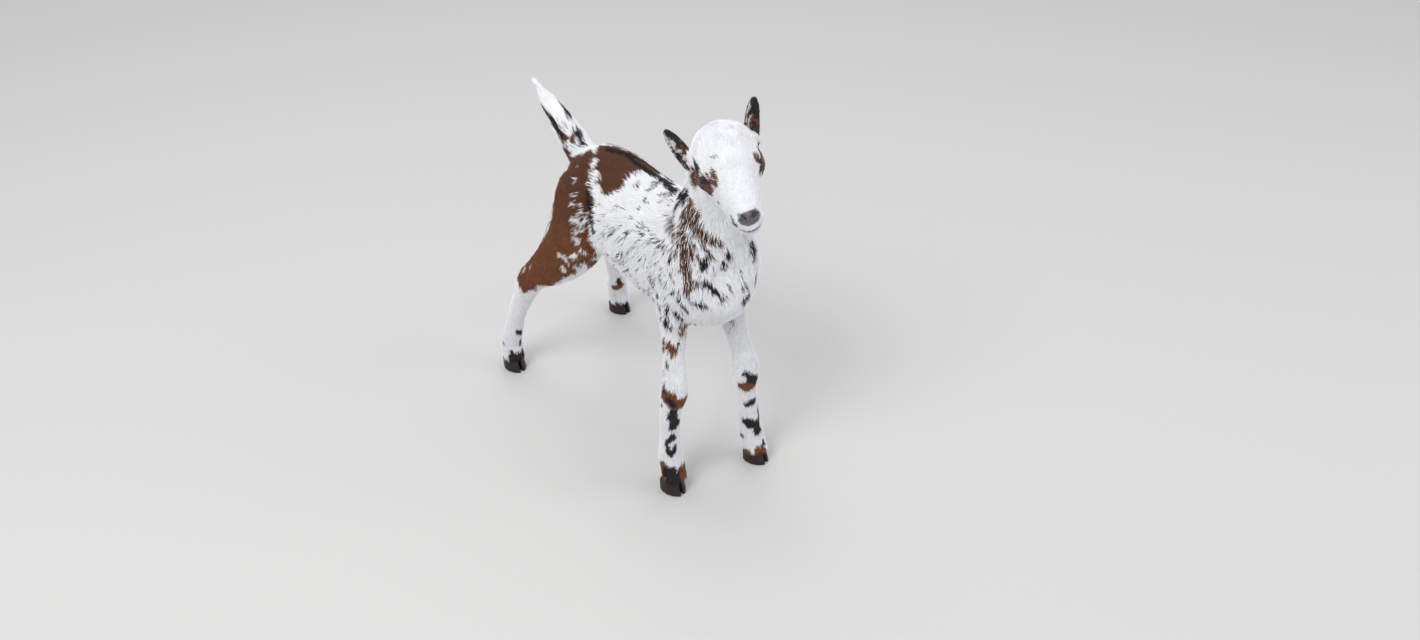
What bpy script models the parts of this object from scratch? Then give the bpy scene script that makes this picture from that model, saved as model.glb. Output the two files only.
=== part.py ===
"""A goat kid a few days old, life size, standing with its legs apart and its tail up.

The kid faces -Y, its left side is +X and the floor is at z = 0. Lengths are metres.
The body is fused from oval lofts and balls, then cut into its parts by thin slabs, so
neighbours meet face to face with a gap of 0.3 mm.
"""

import math
import random

import bmesh
import bpy
from mathutils import Matrix, Vector
from mathutils.bvhtree import BVHTree

GAP = 0.0003
BODY_VOXEL = 0.0018
BODY_FACES = 5400
HEAD_VOXEL = 0.0010
HEAD_FACES = 3600

FRONT = Vector((0, -1, 0))
UP = Vector((0, 0, 1))

# The head has its own frame: the origin midway between the eyes, the nose towards -Y
HEAD_FRAME = (
    Matrix.Translation((0.0017, -0.0245, 0.3370))
    @ Matrix.Rotation(math.radians(-28.5), 4, "Z")
    @ Matrix.Rotation(math.radians(-7.4), 4, "X")
    @ Matrix.Rotation(math.radians(-14.9), 4, "Y")
)

# Trunk: y, height of the back, of the widest line and of the belly, half width
TRUNK = (
    (-0.034, 0.246, 0.234, 0.222, 0.014),
    (-0.028, 0.262, 0.232, 0.202, 0.027),
    (-0.010, 0.280, 0.232, 0.184, 0.036),
    (0.012, 0.290, 0.234, 0.176, 0.039),
    (0.036, 0.291, 0.232, 0.176, 0.041),
    (0.060, 0.285, 0.230, 0.181, 0.043),
    (0.085, 0.282, 0.230, 0.187, 0.045),
    (0.110, 0.283, 0.233, 0.193, 0.044),
    (0.135, 0.287, 0.241, 0.199, 0.040),
    (0.160, 0.287, 0.246, 0.206, 0.036),
    (0.182, 0.277, 0.246, 0.216, 0.029),
    (0.199, 0.264, 0.245, 0.226, 0.018),
)

# Neck: centre, half width, half depth in front and behind
NECK = (
    (0.000, 0.026, 0.236, 0.033, 0.054, 0.030),
    (0.002, 0.012, 0.268, 0.0280, 0.040, 0.030),
    (0.005, 0.004, 0.298, 0.0235, 0.028, 0.027),
    (0.009, 0.000, 0.322, 0.0220, 0.024, 0.026),
    (0.012, -0.002, 0.340, 0.0190, 0.020, 0.022),
)

# Legs: centre, half width, half depth in front and behind
FORE_RIGHT = (
    (-0.026, 0.010, 0.232, 0.015, 0.024, 0.026),
    (-0.027, 0.014, 0.200, 0.0130, 0.017, 0.019),
    (-0.0285, 0.012, 0.172, 0.0105, 0.0120, 0.0135),
    (-0.0325, 0.007, 0.148, 0.0098, 0.0106, 0.0110),
    (-0.0350, 0.003, 0.132, 0.0116, 0.0122, 0.0114),
    (-0.0365, 0.003, 0.120, 0.0128, 0.0128, 0.0116),
    (-0.0392, 0.0037, 0.104, 0.0104, 0.0098, 0.0102),
    (-0.0383, 0.0076, 0.078, 0.0094, 0.0090, 0.0106),
    (-0.0362, 0.0108, 0.053, 0.0100, 0.0094, 0.0116),
    (-0.0345, 0.0127, 0.038, 0.0120, 0.0108, 0.0132),
    (-0.0337, 0.0111, 0.024, 0.0116, 0.0106, 0.0116),
    (-0.0345, 0.0080, 0.012, 0.0122, 0.0124, 0.0112),
    (-0.0350, 0.0070, 0.003, 0.0120, 0.0122, 0.0110),
)
FORE_LEFT = (
    (0.024, 0.002, 0.232, 0.015, 0.024, 0.026),
    (0.024, 0.002, 0.200, 0.0130, 0.017, 0.019),
    (0.026, -0.002, 0.172, 0.0105, 0.0120, 0.0135),
    (0.0308, -0.0058, 0.148, 0.0098, 0.0106, 0.0110),
    (0.0328, -0.0080, 0.132, 0.0124, 0.0122, 0.0114),
    (0.0338, -0.0080, 0.120, 0.0136, 0.0128, 0.0116),
    (0.0362, -0.0080, 0.104, 0.0104, 0.0098, 0.0102),
    (0.0412, -0.0048, 0.078, 0.0094, 0.0090, 0.0106),
    (0.0460, -0.0020, 0.053, 0.0100, 0.0094, 0.0116),
    (0.0497, -0.0006, 0.038, 0.0120, 0.0108, 0.0132),
    (0.0514, -0.0019, 0.024, 0.0116, 0.0106, 0.0116),
    (0.0532, -0.0050, 0.012, 0.0122, 0.0124, 0.0112),
    (0.0536, -0.0060, 0.003, 0.0120, 0.0122, 0.0110),
)
HIND_RIGHT = (
    (-0.006, 0.146, 0.270, 0.014, 0.022, 0.024),
    (-0.024, 0.148, 0.244, 0.022, 0.036, 0.0468),
    (-0.037, 0.157, 0.208, 0.0204, 0.036, 0.0400),
    (-0.048, 0.182, 0.174, 0.0148, 0.026, 0.0242),
    (-0.054, 0.206, 0.150, 0.0122, 0.017, 0.0162),
    (-0.058, 0.222, 0.131, 0.0118, 0.014, 0.0142),
    (-0.060, 0.233, 0.112, 0.0100, 0.012, 0.012),
    (-0.0632, 0.2485, 0.082, 0.0090, 0.0098, 0.0104),
    (-0.0645, 0.2600, 0.053, 0.0096, 0.0098, 0.0110),
    (-0.0650, 0.2680, 0.0375, 0.0116, 0.0106, 0.0124),
    (-0.0648, 0.2685, 0.0235, 0.0112, 0.0104, 0.0114),
    (-0.0648, 0.2660, 0.012, 0.0118, 0.0120, 0.0112),
    (-0.0648, 0.2650, 0.003, 0.0116, 0.0118, 0.0110),
)
HIND_LEFT = (
    (0.006, 0.146, 0.266, 0.014, 0.022, 0.024),
    (0.023, 0.150, 0.240, 0.021, 0.034, 0.038),
    (0.037, 0.163, 0.206, 0.0190, 0.034, 0.038),
    (0.050, 0.195, 0.174, 0.0145, 0.026, 0.024),
    (0.0550, 0.2260, 0.150, 0.0118, 0.017, 0.016),
    (0.0578, 0.2458, 0.131, 0.0112, 0.014, 0.014),
    (0.0606, 0.2580, 0.112, 0.0100, 0.012, 0.012),
    (0.0688, 0.2724, 0.082, 0.0090, 0.0098, 0.0104),
    (0.0785, 0.2820, 0.053, 0.0096, 0.0098, 0.0110),
    (0.0830, 0.2900, 0.0375, 0.0116, 0.0106, 0.0124),
    (0.0850, 0.2925, 0.0235, 0.0112, 0.0104, 0.0114),
    (0.0860, 0.2910, 0.012, 0.0118, 0.0120, 0.0112),
    (0.0862, 0.2900, 0.003, 0.0116, 0.0118, 0.0110),
)
TAIL = (
    (0.000, 0.180, 0.256, 0.0150, 0.0140, 0.0170),
    (-0.001, 0.200, 0.268, 0.0145, 0.0115, 0.0160),
    (-0.004, 0.215, 0.283, 0.0124, 0.0092, 0.0138),
    (-0.008, 0.229, 0.298, 0.0102, 0.0076, 0.0112),
    (-0.0115, 0.239, 0.308, 0.0072, 0.0056, 0.0078),
    (-0.0140, 0.2455, 0.3145, 0.0030, 0.0026, 0.0028),
)

# Extra muscle and bone: centre, half axes, turn about X, Y and Z in degrees
MASSES = (
    ((-0.0235, 0.014, 0.230), (0.0165, 0.030, 0.046), (18, 0, 0)),
    ((0.0265, 0.004, 0.230), (0.0180, 0.030, 0.046), (18, 0, 0)),
    ((-0.0578, 0.2310, 0.1365), (0.0056, 0.0068, 0.0110), (30, 0, 0)),
    ((0.0580, 0.2553, 0.1365), (0.0056, 0.0068, 0.0110), (30, 0, 0)),
    ((0.001, -0.010, 0.216), (0.0260, 0.0230, 0.0240), (-10, 0, 0)),
)

# Feet: centre on the floor and the turn of the toe towards the kid's left, in degrees
FEET = {
    "fore_right": ((-0.0352, 0.0085), 6),
    "fore_left": ((0.0538, -0.0045), 14),
    "hind_right": ((-0.0650, 0.2662), 4),
    "hind_left": ((0.0862, 0.2912), 12),
}
CORONET = 0.0150
CORONET_RISE = 0.20

# Plan of the outer half of a foot: distance from the cleft and distance behind the centre
CLAW = (
    (0.0024, -0.0132), (0.0052, -0.0115), (0.0086, -0.0074), (0.0108, -0.0018),
    (0.0112, 0.0044), (0.0097, 0.0092), (0.0062, 0.0112), (0.0024, 0.0104),
    (0.0008, 0.0060), (0.0006, 0.0000), (0.0008, -0.0060), (0.0012, -0.0118),
)

# Skull in the head's frame: y, height of the top, of the widest line and of the jaw, half width
SKULL = (
    (0.040, 0.018, 0.004, -0.010, 0.0140),
    (0.030, 0.0275, 0.004, -0.019, 0.0215),
    (0.016, 0.0330, 0.006, -0.0255, 0.0252),
    (0.002, 0.0334, 0.006, -0.0292, 0.0258),
    (-0.010, 0.0300, 0.002, -0.0308, 0.0242),
    (-0.020, 0.0215, -0.005, -0.0310, 0.0200),
    (-0.030, 0.0140, -0.010, -0.0312, 0.0168),
    (-0.040, 0.0080, -0.013, -0.0312, 0.0146),
    (-0.049, 0.0030, -0.0145, -0.0305, 0.0127),
    (-0.056, -0.0020, -0.0150, -0.0292, 0.0108),
    (-0.0605, -0.0070, -0.0150, -0.0252, 0.0082),
    (-0.0620, -0.0108, -0.0150, -0.0190, 0.0046),
)
# Masses of the head that lie in the middle, then those on each side
HEAD_MIDDLE = (
    ((0, 0.012, 0.010), (0.0262, 0.030, 0.0252), (0, 0, 0)),
    ((0, -0.0550, -0.0112), (0.0095, 0.0078, 0.0070), (0, 0, 0)),
    ((0, -0.0500, -0.0268), (0.0088, 0.0088, 0.0060), (0, 0, 0)),
)
HEAD_SIDES = (
    ((0.0100, 0.003, -0.0112), (0.0110, 0.026, 0.0160), (0, 0, 0)),
    ((0.0168, -0.0035, 0.0012), (0.0104, 0.0118, 0.0110), (0, 0, 0)),
    ((0.0150, 0.0020, 0.0100), (0.0085, 0.0130, 0.0080), (0, 0, 0)),
    ((0.0058, -0.0535, -0.0178), (0.0070, 0.0076, 0.0058), (0, 0, 0)),
    ((0.0225, 0.0185, 0.0105), (0.0072, 0.0070, 0.0085), (0, 0, 0)),
)

EYE_CENTRE = Vector((0.0166, -0.0042, 0.0008))
EYE_RADIUS = 0.0090
EYE_LOOK = Vector((0.86, -0.48, 0.10)).normalized()
LID_OPENING = (0.0076, 0.0045)

NOSTRIL = ((0.0050, -0.0612, -0.0128), (0.0015, 0.0044, 0.0024), (0, 0, 0))

# Line of the mouth in the head's frame: y and z from the front to the corner
MOUTH = ((-0.0585, -0.0262), (-0.0578, -0.0258), (-0.0564, -0.0246), (-0.0542, -0.0226),
         (-0.0514, -0.0204), (-0.0482, -0.0186))

# Ears: base, axis to the tip, the way the cup opens, rows of distance along, half width,
# depth of the cup
EAR_BASE = {-1: Vector((-0.0284, 0.0196, 0.0099)), 1: Vector((0.0250, 0.0196, 0.0134))}
EAR_AXIS = Vector((0.0090, 0.0062, 0.0270)).normalized()
EAR_OPEN = Vector((0.38, -0.92, 0.05))
EAR_ROWS = (
    (-0.0080, 0.0034, 0.0024),
    (-0.0045, 0.0050, 0.0046),
    (0.0005, 0.0056, 0.0056),
    (0.0065, 0.0058, 0.0054),
    (0.0125, 0.0056, 0.0046),
    (0.0185, 0.0050, 0.0036),
    (0.0240, 0.0040, 0.0024),
    (0.0280, 0.0025, 0.0012),
    (0.0302, 0.0011, 0.0004),
)
EAR_THICK = 0.0018

LOCK_COUNT = 18
LOCK_SEED = 7


def clear_scene():
    for thing in list(bpy.data.objects):
        bpy.data.objects.remove(thing)


def new_object(name, bm):
    mesh = bpy.data.meshes.new(name)
    bm.normal_update()
    bm.to_mesh(mesh)
    bm.free()
    thing = bpy.data.objects.new(name, mesh)
    bpy.context.scene.collection.objects.link(thing)
    return thing


def spline(stations, steps):
    """Smooth rows of numbers through the given rows (Catmull-Rom)."""
    rows = []
    last = len(stations) - 1
    for i in range(last):
        p0 = stations[max(i - 1, 0)]
        p1, p2 = stations[i], stations[i + 1]
        p3 = stations[min(i + 2, last)]
        for k in range(steps):
            t = k / steps
            rows.append([
                0.5 * (2 * b + (c - a) * t + (2 * a - 5 * b + 4 * c - d) * t * t
                       + (3 * b - a - 3 * c + d) * t ** 3)
                for a, b, c, d in zip(p0, p1, p2, p3)
            ])
    rows.append(list(stations[last]))
    return rows


def loft(name, stations, facing, sides=32, steps=5, bulge=0.45):
    """A closed body through oval sections.

    A station is x, y, z of the centre, the half width across, and the half depth
    towards `facing` and away from it.
    """
    rows = spline(stations, steps)
    centres = [Vector(row[:3]) for row in rows]
    bm = bmesh.new()
    rings = []
    for i, (row, centre) in enumerate(zip(rows, centres)):
        before = centres[max(i - 1, 0)]
        after = centres[min(i + 1, len(rows) - 1)]
        along = (after - before).normalized()
        front = (facing - along * facing.dot(along)).normalized()
        side = along.cross(front)
        ring = []
        for k in range(sides):
            turn = 2 * math.pi * k / sides
            depth = row[4] if math.sin(turn) > 0 else row[5]
            ring.append(bm.verts.new(
                centre + side * row[3] * math.cos(turn) + front * depth * math.sin(turn)
            ))
        rings.append(ring)
    for one, other in zip(rings, rings[1:]):
        for k in range(sides):
            bm.faces.new((one[k], one[k - 1], other[k - 1], other[k]))
    ends = ((rings[0], centres[0], centres[1], rows[0]),
            (rings[-1], centres[-1], centres[-2], rows[-1]))
    for ring, centre, near, row in ends:
        tip = bm.verts.new(centre + (centre - near).normalized() * bulge * min(row[3:6]))
        for k in range(sides):
            bm.faces.new((ring[k - 1], ring[k], tip))
    bm.normal_update()
    bmesh.ops.recalc_face_normals(bm, faces=bm.faces)
    return new_object(name, bm)


def level_loft(name, rows, sides):
    """A loft along Y from rows of y, top, widest line, bottom and half width."""
    stations = [(0, y, mid, wide, top - mid, mid - low) for y, top, mid, low, wide in rows]
    return loft(name, stations, UP, sides=sides)


def ball(name, centre, radii, turn=(0, 0, 0), segments=32):
    """An ellipsoid with its half axes along X, Y and Z, then turned (degrees)."""
    bm = bmesh.new()
    matrix = (
        Matrix.Translation(Vector(centre))
        @ Matrix.Rotation(math.radians(turn[2]), 4, "Z")
        @ Matrix.Rotation(math.radians(turn[1]), 4, "Y")
        @ Matrix.Rotation(math.radians(turn[0]), 4, "X")
        @ Matrix.Diagonal((*radii, 1))
    )
    bmesh.ops.create_uvsphere(bm, u_segments=segments, v_segments=segments * 5 // 8,
                              radius=1, matrix=matrix)
    return new_object(name, bm)


def frame_at(point, along, across):
    """A frame at a point with Z along one direction and X as near as can be to another."""
    z = along.normalized()
    x = (across - z * across.dot(z)).normalized()
    y = z.cross(x)
    return Matrix.Translation(point) @ Matrix((x, y, z)).transposed().to_4x4()


def box(name, matrix, low, high):
    low, high = Vector(low), Vector(high)
    bm = bmesh.new()
    bmesh.ops.create_cube(bm, size=1, matrix=(
        matrix @ Matrix.Translation((low + high) / 2) @ Matrix.Diagonal((*(high - low), 1))
    ))
    return new_object(name, bm)


def join(name, things):
    bm = bmesh.new()
    for thing in things:
        bm.from_mesh(thing.data)
        bpy.data.objects.remove(thing)
    return new_object(name, bm)


def apply(thing, kind, **settings):
    modifier = thing.modifiers.new(kind.lower(), kind)
    for key, value in settings.items():
        setattr(modifier, key, value)
    bpy.context.view_layer.objects.active = thing
    bpy.ops.object.modifier_apply(modifier=modifier.name)
    return thing


def cut(thing, cutter, operation="DIFFERENCE"):
    apply(thing, "BOOLEAN", object=cutter, operation=operation, solver="EXACT")
    bpy.data.objects.remove(cutter)
    return thing


def fuse(name, pieces, voxel, smoothing, faces):
    """One skin round overlapping pieces, smoothed, then thinned to about `faces` triangles."""
    body = join(name, pieces)
    apply(body, "REMESH", mode="VOXEL", voxel_size=voxel, adaptivity=0.0)
    apply(body, "SMOOTH", factor=0.5, iterations=smoothing)
    apply(body, "TRIANGULATE")
    apply(body, "DECIMATE", ratio=faces / len(body.data.polygons))
    return body


def split(thing, seeds):
    """Take an object apart into its loose pieces, each named after the nearest seed point."""
    thing.name = "whole"
    bm = bmesh.new()
    bm.from_mesh(thing.data)
    group = {}
    groups = []
    for vert in bm.verts:
        if vert in group:
            continue
        stack, members = [vert], []
        group[vert] = len(groups)
        while stack:
            here = stack.pop()
            members.append(here)
            for edge in here.link_edges:
                other = edge.other_vert(here)
                if other not in group:
                    group[other] = len(groups)
                    stack.append(other)
        groups.append(members)
    best = {}
    for number, members in enumerate(groups):
        if len(members) < 30:
            continue
        middle = sum((vert.co for vert in members), Vector()) / len(members)
        name = min(seeds, key=lambda key: (Vector(seeds[key]) - middle).length)
        if name not in best or len(groups[best[name]]) < len(members):
            best[name] = number
    made = {}
    for name, number in best.items():
        part = bmesh.new()
        twins = {vert: part.verts.new(vert.co) for vert in groups[number]}
        for face in bm.faces:
            if group[face.verts[0]] == number:
                part.faces.new([twins[vert] for vert in face.verts])
        made[name] = new_object(name, part)
    bm.free()
    bpy.data.objects.remove(thing)
    return made


def head_pieces():
    """The overlapping shapes of the head, without the ears, set in place."""
    pieces = [level_loft("skull", SKULL, 56)]
    pieces += [ball("mass", *row) for row in HEAD_MIDDLE]
    for side in (-1, 1):
        for (x, y, z), radii, turn in HEAD_SIDES:
            pieces.append(ball("mass", (side * x, y, z), radii, turn))
    for piece in pieces:
        piece.data.transform(HEAD_FRAME)
    return pieces


def throat_box(name, behind):
    """Everything on one side of the plane between head and neck."""
    frame = HEAD_FRAME @ frame_at(Vector((0, 0.032, -0.004)), Vector((0, 0.75, -0.66)),
                                  Vector((1, 0, 0)))
    if behind:
        return box(name, frame, (-0.09, -0.16, -GAP / 2), (0.09, 0.16, 0.16))
    return box(name, frame, (-0.09, -0.09, -0.12), (0.09, 0.09, GAP / 2))


def lid_opening(side):
    """An almond prism that opens the lids over one eye."""
    look = Vector((side * EYE_LOOK.x, EYE_LOOK.y, EYE_LOOK.z))
    centre = Vector((side * EYE_CENTRE.x, EYE_CENTRE.y, EYE_CENTRE.z))
    long_way = Vector((-side * 0.46, -0.86, -0.20))
    frame = frame_at(centre, look, long_way)
    bm = bmesh.new()
    rings = []
    for depth, grow in ((0.0045, 0.92), (0.0200, 1.35)):
        ring = []
        for k in range(20):
            turn = 2 * math.pi * k / 20
            x = LID_OPENING[0] * grow * math.cos(turn)
            y = LID_OPENING[1] * grow * math.sin(turn) * abs(math.sin(turn)) ** 0.35
            ring.append(bm.verts.new(HEAD_FRAME @ frame @ Vector((x, y, depth))))
        rings.append(ring)
    for k in range(20):
        bm.faces.new((rings[0][k - 1], rings[0][k], rings[1][k], rings[1][k - 1]))
    bm.faces.new(rings[0])
    bm.faces.new(rings[1])
    bm.normal_update()
    bmesh.ops.recalc_face_normals(bm, faces=bm.faces)
    return new_object("opening", bm)


def mouth_groove(head):
    """A thin tube let into the surface along the line of the lips."""
    bm = bmesh.new()
    bm.from_mesh(head.data)
    surface = BVHTree.FromBMesh(bm)
    turned = HEAD_FRAME.to_3x3()
    path = []
    sides = [(-1, row) for row in reversed(MOUTH)] + [(1, row) for row in MOUTH]
    for number, (side, (y, z)) in enumerate(sides):
        reach = max(0.0, (y + 0.0582) / 0.0060)
        lean = Vector((side * min(1.0, 0.06 + reach), -max(0.15, 1.0 - reach), 0)).normalized()
        inner = Vector((0, max(y, -0.0575) + 0.006, z))
        start = HEAD_FRAME @ (inner + lean * 0.05)
        hit = surface.ray_cast(start, turned @ -lean)[0]
        if hit is not None:
            path.append(hit)
    bm.free()
    stations = [(*point, 0.00045 if i in (0, len(path) - 1) else 0.0006, 0.0011, 0.0011)
                for i, point in enumerate(path)]
    middle = HEAD_FRAME @ Vector((0, -0.045, -0.021))
    rows = spline(stations, 2)
    tube = bmesh.new()
    rings = []
    for i, row in enumerate(rows):
        centre = Vector(row[:3])
        after = Vector(rows[min(i + 1, len(rows) - 1)][:3])
        before = Vector(rows[max(i - 1, 0)][:3])
        along = (after - before).normalized()
        inward = middle - centre
        inward = (inward - along * inward.dot(along)).normalized()
        rise = along.cross(inward)
        ring = [tube.verts.new(centre + inward * row[4] * math.sin(turn) + rise * row[3] * math.cos(turn))
                for turn in (math.pi * k / 3 for k in range(6))]
        rings.append(ring)
    for one, other in zip(rings, rings[1:]):
        for k in range(6):
            tube.faces.new((one[k - 1], one[k], other[k], other[k - 1]))
    tube.faces.new(rings[0])
    tube.faces.new(rings[-1])
    tube.normal_update()
    bmesh.ops.recalc_face_normals(tube, faces=tube.faces)
    return new_object("groove", tube)


def make_ear(side):
    """A leaf hollowed into a cup, its lower end inside the head."""
    axis = Vector((side * EAR_AXIS.x, EAR_AXIS.y, EAR_AXIS.z))
    opening = Vector((side * EAR_OPEN.x, EAR_OPEN.y, EAR_OPEN.z))
    opening = (opening - axis * opening.dot(axis)).normalized()
    across = axis.cross(opening)
    base = EAR_BASE[side]
    rows = spline(EAR_ROWS, 2)
    count = 9
    bm = bmesh.new()
    inner, outer = [], []
    for along, wide, depth in rows:
        lean = -0.0018 * (along / 0.03) ** 2
        inside, outside = [], []
        for k in range(count):
            u = -1 + 2 * k / (count - 1)
            turn = u * math.radians(80)
            across_at = math.sin(turn) / math.sin(math.radians(80))
            back_at = math.cos(turn) - math.cos(math.radians(80))
            normal = (across * math.sin(turn) - opening * math.cos(turn)).normalized()
            point = (base + axis * along + across * wide * across_at
                     - opening * (depth * back_at + lean))
            thick = EAR_THICK * (1 - 0.45 * abs(u)) * (0.55 + 0.45 * min(1, wide / 0.005))
            inside.append(bm.verts.new(HEAD_FRAME @ point))
            outside.append(bm.verts.new(HEAD_FRAME @ (point + normal * thick)))
        inner.append(inside)
        outer.append(outside)
    for i in range(len(rows) - 1):
        for k in range(count - 1):
            bm.faces.new((inner[i][k], inner[i][k + 1], inner[i + 1][k + 1], inner[i + 1][k]))
            bm.faces.new((outer[i][k], outer[i + 1][k], outer[i + 1][k + 1], outer[i][k + 1]))
        for k in (0, count - 1):
            bm.faces.new((inner[i][k], inner[i + 1][k], outer[i + 1][k], outer[i][k]))
    for i in (0, len(rows) - 1):
        for k in range(count - 1):
            bm.faces.new((inner[i][k], inner[i][k + 1], outer[i][k + 1], outer[i][k]))
    bm.normal_update()
    bmesh.ops.recalc_face_normals(bm, faces=bm.faces)
    return new_object("ear_left" if side > 0 else "ear_right", bm)


def grown(thing, distance):
    """A copy of an object with its surface moved outwards."""
    bm = bmesh.new()
    bm.from_mesh(thing.data)
    bm.normal_update()
    moves = [vert.normal * distance for vert in bm.verts]
    for vert, move in zip(bm.verts, moves):
        vert.co += move
    return new_object("grown", bm)


def make_head():
    head = fuse("head", head_pieces() + [loft("neck", NECK, FRONT, sides=48)],
                HEAD_VOXEL, 22, HEAD_FACES)
    ears = [cut(make_ear(side), grown(head, GAP)) for side in (-1, 1)]
    cut(head, mouth_groove(head))
    for side in (-1, 1):
        centre = HEAD_FRAME @ Vector((side * EYE_CENTRE.x, EYE_CENTRE.y, EYE_CENTRE.z))
        cut(head, ball("socket", centre, [EYE_RADIUS + GAP] * 3, segments=20))
        cut(head, lid_opening(side))
        (x, y, z), radii, turn = NOSTRIL
        pit = ball("pit", (0, 0, 0), radii, turn, segments=16)
        pit.data.transform(
            HEAD_FRAME @ Matrix.Translation((side * x, y, z))
            @ Matrix.Rotation(math.radians(-side * 38), 4, "Z")
            @ Matrix.Rotation(math.radians(18), 4, "X")
        )
        cut(head, pit)
        ball("eye_left" if side > 0 else "eye_right", centre, [EYE_RADIUS] * 3, segments=20)
    cut(head, throat_box("behind", True))
    split(head, {"head": HEAD_FRAME @ Vector((0, 0, 0))})
    for ear in ears:
        split(ear, {ear.name: HEAD_FRAME @ Vector((0.03 if "left" in ear.name else -0.03, 0.02, 0.03))})


def foot_frame(foot):
    (x, y), turn = FEET[foot]
    return Matrix.Translation((x, y, 0)) @ Matrix.Rotation(math.radians(turn), 4, "Z")


def sole_box(foot):
    """Everything below the top of one hoof."""
    slope = math.atan(CORONET_RISE)
    frame = (
        foot_frame(foot) @ Matrix.Translation((0, 0, CORONET))
        @ Matrix.Rotation(-slope, 4, "X")
    )
    return box("sole", frame, (-0.03, -0.03, -0.03), (0.03, 0.03, 0))


def make_claw(foot, side):
    frame = foot_frame(foot)
    bm = bmesh.new()
    rings = []
    for share, grow in ((0.0, 0.97), (0.12, 1.0), (0.55, 1.0), (1.0, 1.0)):
        ring = []
        for x, y in CLAW:
            wide = x if x < 0.0015 else x * grow * (1 - 0.06 * share)
            back = y * grow * (1 - 0.20 * share) + 0.0026 * share
            top = CORONET - CORONET_RISE * back - GAP
            ring.append(bm.verts.new(frame @ Vector((side * wide, back, top * share))))
        rings.append(ring)
    count = len(CLAW)
    for one, other in zip(rings, rings[1:]):
        for k in range(count):
            bm.faces.new((one[k - 1], one[k], other[k], other[k - 1]))
    bm.faces.new(rings[0])
    bm.faces.new(rings[-1])
    bm.normal_update()
    bmesh.ops.recalc_face_normals(bm, faces=bm.faces)
    place = "outer" if (side > 0) == foot.endswith("left") else "inner"
    return new_object(f"claw_{foot}_{place}", bm)


def make_lock(root, along, flat, length, width, thick):
    """A flat tapered lock of hair that curves a little along its length."""
    side = along.cross(flat).normalized()
    flat = side.cross(along).normalized()
    bm = bmesh.new()
    rings = []
    for share, grow in ((0, 0.8), (0.35, 1.0), (0.7, 0.7), (0.93, 0.25)):
        centre = root + along * length * share + flat * 0.10 * length * share * share
        ring = [bm.verts.new(centre + side * width * grow * a + flat * thick * (0.4 + 0.6 * grow) * b)
                for a, b in ((-1, 0), (-0.45, 0.8), (0.45, 0.8), (1, 0), (0.45, -0.8), (-0.45, -0.8))]
        rings.append(ring)
    for one, other in zip(rings, rings[1:]):
        for k in range(6):
            bm.faces.new((one[k - 1], one[k], other[k], other[k - 1]))
    bm.faces.new(rings[0])
    bm.faces.new(rings[-1])
    bm.normal_update()
    bmesh.ops.recalc_face_normals(bm, faces=bm.faces)
    return new_object("lock", bm)


def add_tail_locks(tail):
    """Fuse the brush of the tail into it, lock by lock."""
    chance = random.Random(LOCK_SEED)
    rows = spline(TAIL, 8)
    for number in range(LOCK_COUNT):
        share = 0.30 + 0.62 * number / (LOCK_COUNT - 1)
        at = share * (len(rows) - 1)
        row = rows[int(at)]
        after = rows[min(int(at) + 1, len(rows) - 1)]
        before = rows[max(int(at) - 1, 0)]
        axis = (Vector(after[:3]) - Vector(before[:3])).normalized()
        front = (UP - axis * UP.dot(axis)).normalized()
        side = axis.cross(front)
        turn = math.radians(number * 137.5)
        out = (side * math.cos(turn) + front * math.sin(turn)).normalized()
        depth = row[3] * abs(math.cos(turn)) + row[4] * abs(math.sin(turn))
        root = Vector(row[:3]) + out * (depth * 0.55)
        along = (axis + out * chance.uniform(0.02, 0.14)).normalized()
        length = chance.uniform(0.0150, 0.0185)
        lock = make_lock(root, along, -out, length, chance.uniform(0.0034, 0.0044), 0.0016)
        cut(tail, lock, "UNION")


def slab(centre, normal, across, half_across, half_other):
    frame = frame_at(Vector(centre), Vector(normal), Vector(across))
    return box("slab", frame, (-half_across, -half_other, -GAP / 2),
               (half_across, half_other, GAP / 2))


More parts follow.
